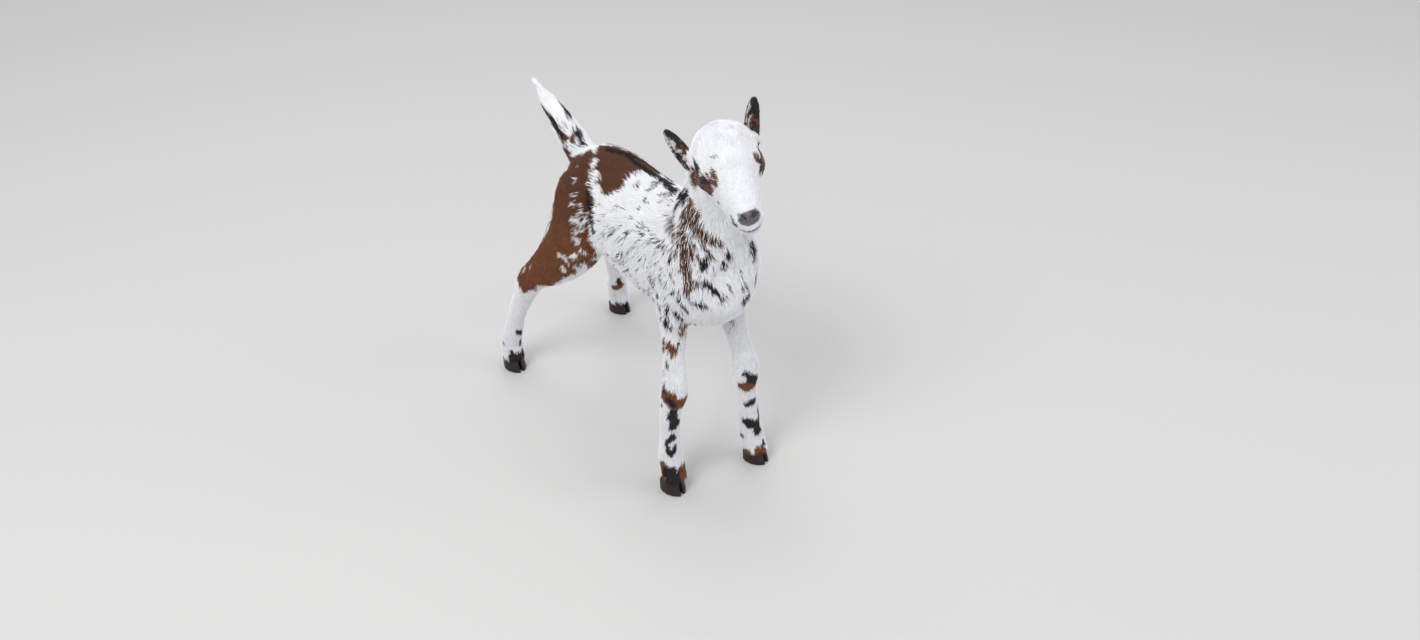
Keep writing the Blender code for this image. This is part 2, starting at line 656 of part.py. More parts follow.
def make_body():
    pieces = [level_loft("trunk", TRUNK, 64), loft("neck", NECK, FRONT, sides=48)]
    pieces += [loft("leg", rows, FRONT)
               for rows in (FORE_RIGHT, FORE_LEFT, HIND_RIGHT, HIND_LEFT)]
    pieces.append(loft("tail", TAIL, UP, sides=20))
    pieces += [ball("mass", *row) for row in MASSES]
    body = fuse("body", pieces + head_pieces(), BODY_VOXEL, 16, BODY_FACES)
    cut(body, throat_box("before", False))
    for foot in FEET:
        cut(body, sole_box(foot))
    slabs = [
        slab((0, 0.0015, 0.2685), (0, -0.552, 0.834), (1, 0, 0), 0.055, 0.055),
        slab((-0.001, 0.197, 0.268), (-0.05, 0.70, 0.70), (1, 0, 0), 0.026, 0.024),
    ]
    for side, fore_y, hind_y in ((-1, 0.012, 0.153), (1, 0.002, 0.157)):
        slabs.append(slab((side * 0.032, fore_y, 0.1855), (-side * 0.039, 0, 0.040),
                          (0, 1, 0), 0.034, 0.028))
        slabs.append(slab((side * 0.036, hind_y, 0.2105), (-side * 0.0618, -0.0144, 0.0456),
                          (0, 0.95, 0.30), 0.052, 0.0450))
    for stations, knee in ((FORE_RIGHT, 4), (FORE_LEFT, 4), (HIND_RIGHT, 5), (HIND_LEFT, 5)):
        here, after = Vector(stations[knee][:3]), Vector(stations[knee + 1][:3])
        slabs.append(slab((here + after) / 2, here - after, (1, 0, 0), 0.022, 0.026))
    cut(body, join("slabs", slabs))
    seeds = {
        "torso": (0, 0.085, 0.235),
        "neck": (0.006, 0.002, 0.300),
        "tail": (-0.008, 0.225, 0.295),
        "leg_fore_right_upper": (-0.030, 0.009, 0.155),
        "leg_fore_right_lower": (-0.039, 0.005, 0.065),
        "leg_fore_left_upper": (0.029, -0.004, 0.155),
        "leg_fore_left_lower": (0.046, -0.009, 0.065),
        "leg_hind_right_upper": (-0.046, 0.180, 0.180),
        "leg_hind_right_lower": (-0.065, 0.250, 0.070),
        "leg_hind_left_upper": (0.048, 0.190, 0.180),
        "leg_hind_left_lower": (0.075, 0.272, 0.070),
    }
    made = split(body, seeds)
    add_tail_locks(made["tail"])


def settle():
    """Bring the middle of the whole model over the origin."""
    things = list(bpy.context.scene.objects)
    corners = [vert.co for thing in things for vert in thing.data.vertices]
    low = Vector([min(corner[i] for corner in corners) for i in range(3)])
    high = Vector([max(corner[i] for corner in corners) for i in range(3)])
    shift = Vector((-(low.x + high.x) / 2, -(low.y + high.y) / 2, -low.z))
    for thing in things:
        thing.data.transform(Matrix.Translation(shift))
    print("size", [round(v, 4) for v in high - low], "shift", [round(v, 5) for v in shift])


def main():
    clear_scene()
    make_body()
    make_head()
    for foot in FEET:
        for side in (-1, 1):
            make_claw(foot, side)
    for thing in bpy.context.scene.objects:
        print(thing.name, len(thing.data.vertices), len(thing.data.polygons))
    settle()


main()
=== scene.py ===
# %% [markdown]
# # A newborn goat kid, standing
# The kid stands as in the photograph, spotted chestnut and black on white. The solids give its outline, out
# to the tips of the coat. Here one skin takes the place of their flesh, and a coat of small tufts covers it.

# %% Load the frame
import math
import bpy
import numpy as np
from mathutils import Matrix, Vector, kdtree, noise
from mathutils.bvhtree import BVHTree


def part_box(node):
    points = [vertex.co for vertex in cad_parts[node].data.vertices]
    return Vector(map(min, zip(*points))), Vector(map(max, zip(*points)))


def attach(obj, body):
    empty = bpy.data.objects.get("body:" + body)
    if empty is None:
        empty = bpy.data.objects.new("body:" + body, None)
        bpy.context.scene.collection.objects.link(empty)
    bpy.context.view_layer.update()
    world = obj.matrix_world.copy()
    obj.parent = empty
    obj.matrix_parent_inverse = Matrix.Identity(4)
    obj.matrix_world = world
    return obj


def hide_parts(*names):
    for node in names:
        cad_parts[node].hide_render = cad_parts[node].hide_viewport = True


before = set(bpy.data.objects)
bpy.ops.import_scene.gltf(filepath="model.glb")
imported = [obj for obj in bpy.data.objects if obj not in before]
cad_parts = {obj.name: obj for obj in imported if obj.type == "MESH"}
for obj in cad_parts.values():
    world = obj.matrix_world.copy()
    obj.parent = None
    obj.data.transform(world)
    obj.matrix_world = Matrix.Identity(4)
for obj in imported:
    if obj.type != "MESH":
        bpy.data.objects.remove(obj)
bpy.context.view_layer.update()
scene = bpy.context.scene
bpy.ops.object.select_all(action="DESELECT")


# %% One helper puts every new thing in the scene
def placed(name, data):
    thing = bpy.data.objects.new(name, data)
    scene.collection.objects.link(thing)
    return thing


print("scene:", scene.name)

# %% [markdown]
# ## Places on the animal
# The kid faces -Y with its left side at +X. Lengths are metres, and a list in millimetres says so.
# The solids were moved to sit over the origin. The eyes show how far, and every place here follows them.

# %% The head's own frame and the shift
HEAD = (
    Matrix.Translation((0.0017, -0.0245, 0.3370))
    @ Matrix.Rotation(math.radians(-28.5), 4, "Z")
    @ Matrix.Rotation(math.radians(-7.4), 4, "X")
    @ Matrix.Rotation(math.radians(-14.9), 4, "Y")
)
# the left eye's middle in the head's frame, and half the width and height of the lids' edge
EYE = Vector((0.0166, -0.0042, 0.0008))
EYE_RADIUS = 0.0090
LID = (0.0076, 0.0045)
# the base of each ear, the line from there to its tip, and the way its cup opens
EARS = {
    "right": ((-0.0284, 0.0196, 0.0099), (-0.0090, 0.0062, 0.0270), (-0.38, -0.92, 0.05)),
    "left": ((0.0250, 0.0196, 0.0134), (0.0090, 0.0062, 0.0270), (0.38, -0.92, 0.05)),
}
EARS = {side: [Vector(part) for part in parts] for side, parts in EARS.items()}


def side_of(side):
    return -1 if side == "right" else 1


def eye_centre(side):
    return HEAD @ Vector((side_of(side) * EYE.x, EYE.y, EYE.z))


def middle(node):
    low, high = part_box(node)
    return (Vector(low) + Vector(high)) / 2


SHIFT = (middle("eye_right") - eye_centre("right") + middle("eye_left") - eye_centre("left")) / 2
MOVED = np.array(SHIFT)
print("shift:", [round(v, 5) for v in SHIFT])

# %% [markdown]
# ## Camera, floor and light
# The camera looks down on the kid from its right front, as the photograph does. The floor is plain and pale.
# Wide soft lamps stand in for an open sky, with the strongest one high at the left of the picture.

# %% Camera
lens = bpy.data.cameras.new("camera")
camera = placed("camera", lens)
lens.sensor_width, lens.lens = 36, 27.05
camera.location = Vector((-0.4466, -0.6024, 0.7100)) + SHIFT
camera.rotation_euler = (math.radians(55.0), 0, math.radians(-36.6))
scene.camera = camera
print("camera:", [round(v, 3) for v in camera.location])

# %% Floor
bpy.ops.mesh.primitive_plane_add(size=8, location=(0, 0, 0))
floor = bpy.context.object
floor.name = "floor"
paint = bpy.data.materials.new("pale_floor")
paint.use_nodes = True
paint.node_tree.nodes["Principled BSDF"].inputs["Base Color"].default_value = (0.58, 0.57, 0.55, 1)
paint.node_tree.nodes["Principled BSDF"].inputs["Roughness"].default_value = 0.9
floor.data.materials.append(paint)
print("floor:", floor.name)


# %% Lamps and sky
MID_BODY = Vector((0, 0, 0.2))


def lamp(name, place, size, power):
    light = bpy.data.lights.new(name, "AREA")
    light.shape, light.size, light.energy = "DISK", size, power
    thing = placed(name, light)
    thing.location = place
    thing.rotation_euler = (MID_BODY - Vector(place)).to_track_quat("-Z", "Y").to_euler()


lamp("key", (-1.5, -0.6, 1.9), 1.1, 26)
lamp("top", (0.2, 0.6, 2.2), 1.5, 9)
lamp("fill", (1.4, -1.6, 1.2), 1.6, 10)
sky = bpy.data.worlds.new("sky")
scene.world = sky
sky.use_nodes = True
sky.node_tree.nodes["Background"].inputs["Color"].default_value = (0.93, 0.95, 1.0, 1)
sky.node_tree.nodes["Background"].inputs["Strength"].default_value = 0.80
scene.view_settings.view_transform = "Standard"

# %% [markdown]
# ## The skin
# Copies of the flesh are grown a little so that the thin cuts close, fused into one body, smoothed, and drawn
# in by the coat's depth. The kinds of place below say how deep the coat is, and how its tufts grow.

# %% What each part of the body carries
# depth, tufts per square mm, length, width and lift in degrees
KINDS = {
    "torso": (0.0015, 1.5, 0.0062, 0.00095, 11),
    "neck": (0.0015, 1.6, 0.0066, 0.00095, 12),
    "upper": (0.0012, 1.6, 0.0050, 0.00085, 10),
    "lower": (0.0007, 2.2, 0.0031, 0.00065, 9),
    "head": (0.0005, 2.4, 0.0037, 0.00055, 10),
    "ear": (0.00012, 2.2, 0.0026, 0.00050, 9),
    "tail": (0.0016, 2.4, 0.0098, 0.00100, 8),
}
LEGS = ["leg_%s_%s" % (end, side) for end in ("fore", "hind") for side in ("left", "right")]
FLESH = {name: name.split("_")[0] for name in ("torso", "neck", "head", "ear_left", "ear_right", "tail")}
FLESH.update({leg + "_upper": "upper" for leg in LEGS})
FLESH.update({leg + "_lower": "lower" for leg in LEGS})
KIND_NAMES = list(KINDS)
print("flesh nodes:", len(FLESH))


# %% Tools for meshes
def only(thing):
    bpy.ops.object.select_all(action="DESELECT")
    thing.select_set(True)
    bpy.context.view_layer.objects.active = thing


def modify(thing, kind, **settings):
    only(thing)
    modifier = thing.modifiers.new(kind.lower(), kind)
    for key, value in settings.items():
        setattr(modifier, key, value)
    bpy.ops.object.modifier_apply(modifier=modifier.name)


def edit_all(step):
    """One step of edit mode on everything in the mesh."""
    bpy.ops.object.mode_set(mode="EDIT")
    bpy.ops.mesh.select_all(action="SELECT")
    step()
    bpy.ops.object.mode_set(mode="OBJECT")


def merged(nodes, name):
    bpy.ops.object.select_all(action="DESELECT")
    for node in nodes:
        thing = placed(node + "_copy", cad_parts[node].data.copy())
        thing.select_set(True)
        bpy.context.view_layer.objects.active = thing
    if len(nodes) > 1:
        bpy.ops.object.join()
    thing = bpy.context.object
    thing.name = thing.data.name = name
    edit_all(lambda: bpy.ops.mesh.remove_doubles(threshold=0.00001))
    edit_all(lambda: bpy.ops.mesh.normals_make_consistent(inside=False))
    thing.data.materials.clear()
    return thing


def array_of(collection, key, width=3):
    flat = np.empty(len(collection) * width)
    collection.foreach_get(key, flat)
    return flat.reshape(-1, width)


def unit(vectors):
    return vectors / np.maximum(np.linalg.norm(vectors, axis=-1, keepdims=True), 1e-12)


def bell(values, middle_value, spread):
    return np.exp(-(((values - middle_value) / spread) ** 2))


def clamp(values):
    return np.clip(values, 0, 1)


def ramp(values, start, span):
    """0 up to the start, and 1 from one span past it."""
    return clamp((values - start) / span)


# %% Fuse the flesh
skin = merged(list(FLESH), "skin")
modify(skin, "DISPLACE", strength=0.0004, mid_level=0)
modify(skin, "REMESH", mode="VOXEL", voxel_size=0.0010)
modify(skin, "SMOOTH", factor=0.5, iterations=7)
print("skin:", len(skin.data.vertices), "vertices")


# %% Which kind of place each vertex is
def finder(points):
    tree = kdtree.KDTree(len(points))
    for number, point in enumerate(points):
        tree.insert(point, number)
    tree.balance()
    return lambda others: np.array([tree.find(point)[1] for point in others])


def is_kind(kinds, *names):
    return np.isin(kinds, [KIND_NAMES.index(name) for name in names])


corners = [(vertex.co, kind) for node, kind in FLESH.items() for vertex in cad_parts[node].data.vertices]
owner = np.array([KIND_NAMES.index(kind) for spot, kind in corners])
place = array_of(skin.data.vertices, "co")
facing = array_of(skin.data.vertex_normals, "vector")
kind_of = owner[finder([spot for spot, kind in corners])(place)]
print({name: int((kind_of == i).sum()) for i, name in enumerate(KIND_NAMES)})

# %% [markdown]
# ## Blurring over the skin
# A value blurred over the skin is shared between neighbours again and again. Blurred places give a calmer
# surface: the folds where neck, chest and forelegs meet are filled, as loose skin fills them on a kid, and
# the tail's flat locks give way to a skin that tapers into its brush.

# %% Ties between neighbours
edges = array_of(skin.data.edges, "vertices", 2).astype(int)
degree = np.bincount(edges.ravel(), minlength=len(place)).astype(float)


def blurred(values, times):
    if values.ndim > 1:
        return np.stack([blurred(column, times) for column in values.T], 1)
    for _ in range(times):
        total = np.bincount(edges[:, 0], values[edges[:, 1]], len(values))
        total += np.bincount(edges[:, 1], values[edges[:, 0]], len(values))
        values = 0.5 * values + 0.5 * total / degree
    return values


print("ties:", len(edges))

# %% Calm the chest
CHEST, CHEST_SIZE = (0.004, -0.028, 0.225), 0.030
chest = bell(np.linalg.norm(place - MOVED - CHEST, axis=1), 0, CHEST_SIZE)[:, None] * 0.9
place = place * (1 - chest) + blurred(place, 70) * chest
print("chest vertices:", int((chest > 0.1).sum()))

# %% Taper the tail's skin into its brush
TAIL_WAY = unit(np.array((-0.018, 0.078, 0.071)))
TAIL_TIP = np.array((-0.0150, 0.2505, 0.3200)) + MOVED
BRUSH_HEEL = 0.364


def up_tail(points):
    return (points - MOVED) @ TAIL_WAY


tail_here = is_kind(kind_of, "tail")
ease = (tail_here * ramp(up_tail(place), 0.330, 0.04))[:, None]
place = place * (1 - ease) + blurred(place, 40) * ease
heel = place[tail_here & (abs(up_tail(place) - BRUSH_HEEL) < 0.002)].mean(0)
brush = TAIL_TIP - heel
reach = (clamp((place - heel) @ brush / (brush @ brush)) * tail_here)[:, None]
place = place - (place - heel - brush * reach) * 0.8 * reach ** 1.2
print("brush in mm:", round(np.linalg.norm(brush) * 1000, 1))

# %% The coat's depth
depth = blurred(np.array([KINDS[name][0] for name in KIND_NAMES])[kind_of], 14)
print("coat depth in mm:", round(depth.min() * 1000, 2), "to", round(depth.max() * 1000, 2))


# %% Places in the head's frame
def local(points, frame_matrix):
    inverse = np.array((Matrix.Translation(SHIFT) @ frame_matrix).inverted())
    return points @ inverse[:3, :3].T + inverse[:3, 3]


def turned(vectors, frame_matrix):
    return vectors @ np.array(frame_matrix.to_3x3())


def lid_ring(points, side):
    """How far from the eye's middle each point is, where 1 is the edge of the lids and 9 is nowhere near."""
    sign = side_of(side)
    look = unit(np.array((sign * 0.86, -0.48, 0.10)))
    along = unit(np.array((-0.46 * sign, 0.86, 0.20)))
    along = unit(along - look * (along @ look))
    from_eye = points - np.array((sign * EYE.x, EYE.y, EYE.z))
    ring = np.hypot(from_eye @ along / LID[0], from_eye @ np.cross(look, along) / LID[1])
    ring[from_eye @ look < 0.002] = 9
    ring[np.linalg.norm(from_eye, axis=1) > 0.022] = 9
    return ring


def near_line(points, line):
    """How far each point is from the nearest place on a line through a few places."""
    best = np.full(len(points), 9.0)
    line = np.array(line, float)
    for start, end in zip(line[:-1], line[1:]) if len(line) > 1 else [(line[0], line[0])]:
        reach = end - start
        share = clamp((points - start) @ reach / max(reach @ reach, 1e-12))
        best = np.minimum(best, np.linalg.norm(points - start - share[:, None] * reach, axis=1))
    return best


in_head = local(place, HEAD)
on_head = is_kind(kind_of, "head")
lids = np.minimum(lid_ring(in_head, "right"), lid_ring(in_head, "left"))
print("lid vertices:", int((lids < 1.3).sum()))

# %% Draw the skin in, and press the mouth and nostrils
HALF_MOUTH = ((0.0122, -0.0482, -0.0186), (0.0115, -0.0514, -0.0204), (0.0095, -0.0542, -0.0226),
              (0.0065, -0.0564, -0.0246), (0.0030, -0.0578, -0.0258))
MOUTH = [(-x, y, z) for x, y, z in HALF_MOUTH] + [(0, -0.0585, -0.0262)] + list(HALF_MOUTH[::-1])
NOSTRIL = ((0.0038, -0.0632, -0.0150), (0.0066, -0.0600, -0.0118))
MOUTH_DEPTH, NOSTRIL_DEPTH, LID_SWELL, LIP_SWELL = 0.0017, 0.0026, 0.00045, 0.0004
MOUTH = [in_head[np.argmin(((in_head - spot) ** 2).sum(1))] for spot in MOUTH]
mouth = near_line(in_head, MOUTH)
nostril = np.minimum(*[near_line(in_head, [(sign * x, y, z) for x, y, z in NOSTRIL]) for sign in (-1, 1)])
depth = np.where(on_head, depth * np.clip((lids - 1.0) / 1.2, 0.25, 1), depth)
press = depth + on_head * (MOUTH_DEPTH * bell(mouth, 0, 0.0009) + NOSTRIL_DEPTH * bell(nostril, 0, 0.0012))
press -= on_head * (LID_SWELL * bell(lids, 1.12, 0.16) + LIP_SWELL * bell(mouth, 0.0021, 0.0010))
place = place - facing * press[:, None]
skin.data.vertices.foreach_set("co", place.ravel())
skin.data.update()
modify(skin, "SMOOTH", factor=0.4, iterations=1)
place = array_of(skin.data.vertices, "co")
facing = array_of(skin.data.vertex_normals, "vector")
in_head = local(place, HEAD)
print("drawn in by up to", round(press.max() * 1000, 2), "mm")

# %% [markdown]
# ## The markings
# Each mark is a soft stroke: b for chestnut, d for black, w for white again. Its places were picked on
# enlargements of the photograph and are given in the pixels of one of them. A ray from the camera through such
# a place meets the body where the mark is. The far side is finished in the same manner. Small black flecks
# are drawn at random over the flanks, each one along the lie of the coat.

# %% From the enlargement to the body
PICTURE = (1420, 640)
ENLARGED, CORNER = 3.5636, (480, 70)
FOCAL = PICTURE[0] * lens.lens / lens.sensor_width
turn = camera.rotation_euler.to_matrix()
points, faces = [], []
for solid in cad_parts.values():
    first = len(points)
    points += [vertex.co.copy() for vertex in solid.data.vertices]
    faces += [[first + corner for corner in face.vertices] for face in solid.data.polygons]
solids = BVHTree.FromPolygons(points, faces)


def cast(x, y):
    """The place in millimetres where the ray meets the solids, or where the nearest one round it does."""
    for step in (0, 4, 8, 12, 16, 22, 40):
        for eighth in range(8 if step else 1):
            across = CORNER[0] + (x + step * math.cos(eighth * math.pi / 4)) / ENLARGED
            down = CORNER[1] + (y + step * math.sin(eighth * math.pi / 4)) / ENLARGED
            ray = turn @ Vector((across - PICTURE[0] / 2, PICTURE[1] / 2 - down, -FOCAL))
            spot = solids.ray_cast(camera.location, ray.normalized())[0]
            if spot:
                return [round(v * 1000) for v in spot - SHIFT]


print("a stroke's first place:", cast(465, 310))

# %% The strokes: colour, half width in millimetres, places
# two numbers are a place in the enlargement, and three a place on the body that the camera doesn't see
MARKS = {
    "saddle": [
        ("b", 11, (465, 310), (475, 345)), ("b", 12, (470, 395), (468, 405)),
        ("b", 14, (510, 325), (508, 345)), ("b", 9, (505, 385), (495, 410)),
        ("b", 12, (550, 320), (545, 345)), ("b", 10, (585, 335), (610, 355)),
        ("b", 9, (445, 300), (450, 330)), ("b", 8, (450, 290), (520, 285)), ("b", 8, (560, 310), (620, 350)),
        ("b", 5, (440, 275), (470, 268)),
    ],
    "haunch": [
        ("b", 6, (385, 300), (388, 350), (388, 420), (398, 480)), ("b", 13, (335, 335), (345, 385)),
        ("b", 15, (335, 430), (320, 480)), ("b", 17, (305, 530), (290, 590)),
        ("b", 14, (345, 590), (325, 620)), ("b", 10, (318, 330), (300, 420)),
        ("b", 12, (290, 480), (278, 560)), ("b", 10, (262, 600), (240, 640)),
        ("b", 8, (281, 425), (275, 457), (270, 490), (261, 557)),
        ("b", 9, (261, 557), (250, 590), (234, 622), (212, 652)),
    ],
    "thigh": [
        ("b", 16, (250, 645), (205, 690)), ("b", 11, (165, 715), (170, 750)),
        ("b", 9, (230, 725), (290, 690)), ("b", 5, (325, 680), (372, 660), (425, 687)),
        ("b", 9, (180, 725), (172, 745)), ("b", 8, (150, 730), (150, 762)), ("b", 8, (195, 745), (225, 750)),
        ("b", 5, (238, 757), (283, 729), (333, 707)), ("d", 1.8, (300, 718), (308, 730)),
        ("d", 1.6, (325, 700), (330, 714)), ("d", 1.6, (352, 690), (360, 704)),
        ("b", 2, (383, 685), (395, 690)),
    ],
    "haunch_edge": [
        ("d", 3.5, (392, 440), (400, 500), (408, 570)),
        ("b", 5, (372, 440), (380, 520), (378, 600), (395, 650)),
    ],
    "white_ticks": [
        ("w", 2.6, (415, 275), (414, 300)), ("w", 3.2, (418, 322), (412, 345)),
        ("w", 3.4, (420, 372), (425, 390)), ("w", 3.2, (425, 425), (432, 440)),
        ("w", 2, (400, 400), (404, 420)), ("w", 1.6, (343, 382), (350, 402)), ("w", 1.4, (352, 352)),
        ("w", 1.7, (330, 432), (350, 442)), ("w", 1.8, (336, 470), (346, 485)),
        ("w", 2.3, (335, 520), (352, 530)), ("w", 2.2, (375, 510), (382, 530)),
        ("w", 2.2, (345, 560), (352, 572)), ("w", 2.6, (345, 598), (358, 608)),
        ("w", 2, (362, 635), (374, 648)), ("w", 2.2, (345, 655), (335, 662)),
        ("w", 2.2, (296, 700), (305, 715)), ("w", 1.5, (386, 455), (390, 470)),
        ("w", 1.5, (368, 480), (372, 492)), ("w", 2.2, (366, 545), (372, 560)), ("w", 1.4, (300, 668)),
        ("w", 1.6, (352, 620)),
    ],
    "hock": [
        ("w", 5, (148, 690)), ("w", 3.2, (138, 694), (148, 704)),
    ],
    "shoulder": [
        ("b", 4, (748, 470), (758, 510)), ("b", 4.4, (745, 520), (775, 560), (795, 590)),
        ("b", 4.2, (800, 575), (850, 605)), ("b", 4.4, (732, 500), (722, 560), (730, 620), (722, 690)),
        ("b", 4.2, (735, 700), (738, 740), (735, 785)), ("b", 2.2, (705, 465), (688, 530), (697, 590)),
        ("b", 2.4, (765, 560), (785, 610), (818, 655)), ("b", 3, (755, 615), (748, 655)),
        ("d", 2.2, (700, 480), (715, 460)), ("b", 3.8, (745, 745), (800, 755)),
        ("d", 2.8, (800, 740), (830, 770), (862, 808)), ("d", 4, (795, 668), (790, 685)),
        ("d", 2.3, (862, 672), (872, 688)), ("d", 2.3, (880, 640), (890, 655)),
        ("d", 2, (835, 705), (838, 716)), ("d", 2.3, (745, 820), (800, 832)),
        ("d", 2, (708, 815), (732, 852)), ("d", 1.8, (690, 775), (688, 790)),
        ("b", 1.6, (690, 500), (676, 560)), ("b", 1.8, (712, 540), (706, 600)),
        ("d", 1.4, (700, 620), (698, 650)), ("b", 1.6, (780, 500), (800, 560)),
        ("d", 1.4, (680, 640), (672, 672)), ("b", 1.6, (770, 640), (778, 668)),
        ("d", 1.3, (665, 700), (660, 730)), ("d", 1.5, (680, 700), (678, 725)),
        ("b", 1.5, (691.2, 465.2), (683.8, 485.6)), ("b", 1.5, (703.4, 477.5), (691.2, 526.5)),
        ("b", 1.6, (744.4, 448.8), (760.7, 485.6), (785.3, 538.8)),
        ("b", 1.6, (740.3, 465.2), (744.4, 506.1), (760.7, 567.5)),
        ("b", 1.8, (695.3, 526.5), (699.4, 579.7), (703.4, 608.4)),
        ("b", 2, (719.8, 518.4), (728, 563.4), (740.3, 624.7)), ("b", 2.2, (760.7, 497.9), (793.5, 579.7)),
        ("b", 2, (781.2, 600.2), (818, 657.5)), ("b", 3, (801.6, 567.5), (826.2, 600.2), (854.8, 608.4)),
        ("d", 1.4, (752.5, 583.8), (760.7, 616.5)), ("d", 1.2, (711.6, 469.3), (728, 457)),
        ("d", 1, (674.8, 497.9), (672.8, 518.4)), ("d", 1, (662.5, 469.3), (674.8, 457)),
    ],
    "chest": [
        ("d", 2, (928, 705), (940, 745)), ("d", 2.8, (988, 730), (982, 750)),
        ("d", 3, (962, 785), (945, 808)), ("d", 2.6, (945, 755), (935, 770)),
        ("d", 1.8, (968, 610), (985, 680)), ("d", 2.4, (858, 790)), ("d", 1.8, (883, 762)),
        ("d", 1.8, (948, 838), (936, 846)), ("d", 1.6, (858, 826)), ("d", 1.6, (815, 850)),
        ("d", 1.8, (879.4, 637), (885.5, 653.4)), ("d", 1.4, (895.7, 645.2), (901.9, 659.5)),
        ("d", 1.8, (961.2, 596.1), (969.4, 628.8)), ("d", 1.2, (975.5, 608.4), (983.7, 641.1)),
        ("d", 1.8, (960, 620), (964, 640)), ("d", 1.6, (925, 760), (935, 775)),
    ],
    "right_forearm": [
        ("d", 2.2, (672, 835), (662, 862)), ("d", 2, (696, 850), (702, 882)),
        ("b", 4, (722, 905), (722, 928)), ("d", 2.4, (664, 885), (660, 905)),
        ("b", 3, (652, 960), (654, 990)), ("b", 4.6, (680, 978), (690, 995)),
        ("d", 1.4, (710, 965), (706, 985)), ("d", 1.8, (665, 1035), (667, 1050)),
        ("d", 1.4, (655, 1068), (656, 1078)), ("d", 2.6, (656, 1118), (660, 1132)),
        ("d", 1.3, (684, 905), (680, 930)), ("d", 1.2, (640, 830), (636, 850)),
    ],
    "right_knee": [
        ("b", 7.4, (668, 1156), (690, 1182), (712, 1190), (730, 1178)), ("d", 3.6, (672, 1170), (690, 1190)),
        ("d", 4.4, (688, 1222), (690, 1245), (692, 1272)), ("d", 4.3, (708, 1248), (700, 1262)),
        ("d", 2.2, (645, 1190)),
    ],
    "right_fore_foot": [
        ("b", 5.4, (652, 1402), (648, 1430), (652, 1465)), ("b", 5.4, (728, 1410), (734, 1440), (732, 1475)),
        ("d", 7.8, (676, 1432), (690, 1465), (698, 1490)), ("b", 5.4, (720, 1420), (724, 1450), (722, 1475)),
    ],
    "left_foreleg": [
        ("d", 2.6, (942, 1080), (956, 1082)), ("b", 7.4, (952, 1126), (974, 1110)),
        ("d", 4.8, (966, 1096), (986, 1098)), ("d", 4.6, (952, 1190), (972, 1180)),
        ("d", 3, (990, 1192), (994, 1240)), ("d", 4.3, (988, 1250), (992, 1288)),
        ("d", 6, (955, 1252), (972, 1260)), ("d", 2.4, (926, 1296), (934, 1302)),
        ("d", 2.2, (1008, 1318), (1010, 1326)),
    ],
    "left_fore_foot": [
        ("b", 6, (950, 1362), (962, 1385)), ("b", 7.2, (1000, 1358), (992, 1385)),
        ("d", 6, (1014, 1372), (1010, 1395)),
    ],
    "right_hind_leg": [
        ("d", 3.2, (135, 932), (148, 938)), ("d", 2, (146, 958), (144, 972)),
        ("d", 1.4, (82, 968), (88, 978)), ("d", 2.6, (152, 996), (145, 1004)),
        ("d", 2, (112, 1002), (120, 1008)),
    ],
    "right_hind_foot": [
        ("b", 4.5, (98, 1038), (105, 1055)), ("d", 6.5, (128, 1038), (145, 1042)),
        ("d", 4, (162, 1030), (165, 1045)), ("d", 6, (120, 1020), (150, 1022)),
        ("b", 3, (92, 1045), (100, 1062)),
    ],
    "left_hind_leg": [
        ("b", 5, (482, 775), (500, 768)), ("d", 3, (495, 748), (500, 760)), ("d", 3, (490, 830), (500, 832)),
        ("d", 3.6, (540, 828), (542, 842)),
    ],
    "left_hind_foot": [
        ("b", 4, (478, 850), (500, 862)), ("d", 4, (515, 860), (542, 852)),
    ],
    "back_stripe": [
        ("d", 4, (470, 285), (505, 300), (540, 318)), ("d", 4.6, (540, 318), (585, 350), (625, 378)),
        ("d", 4.4, (625, 378), (660, 392), (700, 412)), ("d", 4.6, (660, 400), (700, 425), (735, 440)),
        ("d", 3.2, (520, 302), (570, 322), (610, 345)), ("d", 3.6, (600, 335), (640, 362), (690, 400)),
    ],
    "back_flecks": [
        ("d", 2.6, (615, 428), (632, 412)), ("d", 2.2, (598, 458)), ("d", 2.4, (645, 450), (672, 440)),
        ("d", 2, (585, 470), (600, 478)), ("d", 2.2, (680, 455), (700, 447)),
        ("d", 1.6, (560, 425), (568, 412)), ("d", 1.6, (545, 445), (548, 437)),
        ("d", 1.8, (640, 478), (655, 470)), ("d", 1.6, (570, 500), (580, 492)),
    ],
    "right_eye": [
        ("d", 2, (763, 334), (767, 346)), ("d", 3.2, (768.9, 344.5), (780.4, 358.8)),
        ("b", 4.7, (764.8, 362.9), (771, 383.4)), ("b", 4.2, (781.2, 383.4), (799.6, 397.7)),
        ("b", 4.9, (785.3, 416.1), (801.6, 424.3), (816, 430.4)), ("b", 3.9, (822.1, 414), (826.2, 422.2)),
        ("d", 1.5, (781.2, 391.5), (803.7, 395.6), (816, 401.8)), ("b", 2.8, (835.5, 367), (838.5, 383.4)),
        ("b", 3, (838.5, 387.5), (843, 403)), ("b", 2.1, (828.2, 395.6), (832.3, 399.7)),
        ("w", 1.8, (794, 358), (806, 370), (824, 374)), ("b", 1, (796, 374)),
        ("b", 1.7, (811.9, 376), (816, 380.1)), ("b", 4.4, (785, 392), (800, 412), (818, 428)),
        ("b", 3.2, (772, 372), (785, 388)), ("d", 1.6, (795, 400), (806, 404)),
        ("b", 4.2, (761.4, 381.3), (766.1, 397.9)),
    ],
    "left_eye": [
        ("b", 3, (981.6, 310.5), (987.8, 317.9)), ("b", 3, (1004.1, 297.5), (1005.4, 313.8)),
        ("d", 2.4, (998.8, 330.2), (994.7, 362.9)), ("d", 1.6, (996, 264.7), (1002.9, 285.2)),
        ("d", 2.4, (1001.3, 276.8), (1003.7, 291)), ("b", 2.4, (984.7, 312.4), (987.1, 329)),
    ],
    "cheek": [
        ("d", 1.1, (849.9, 475.8)), ("d", 1.3, (850.7, 472.5), (852.6, 477.3)),
    ],
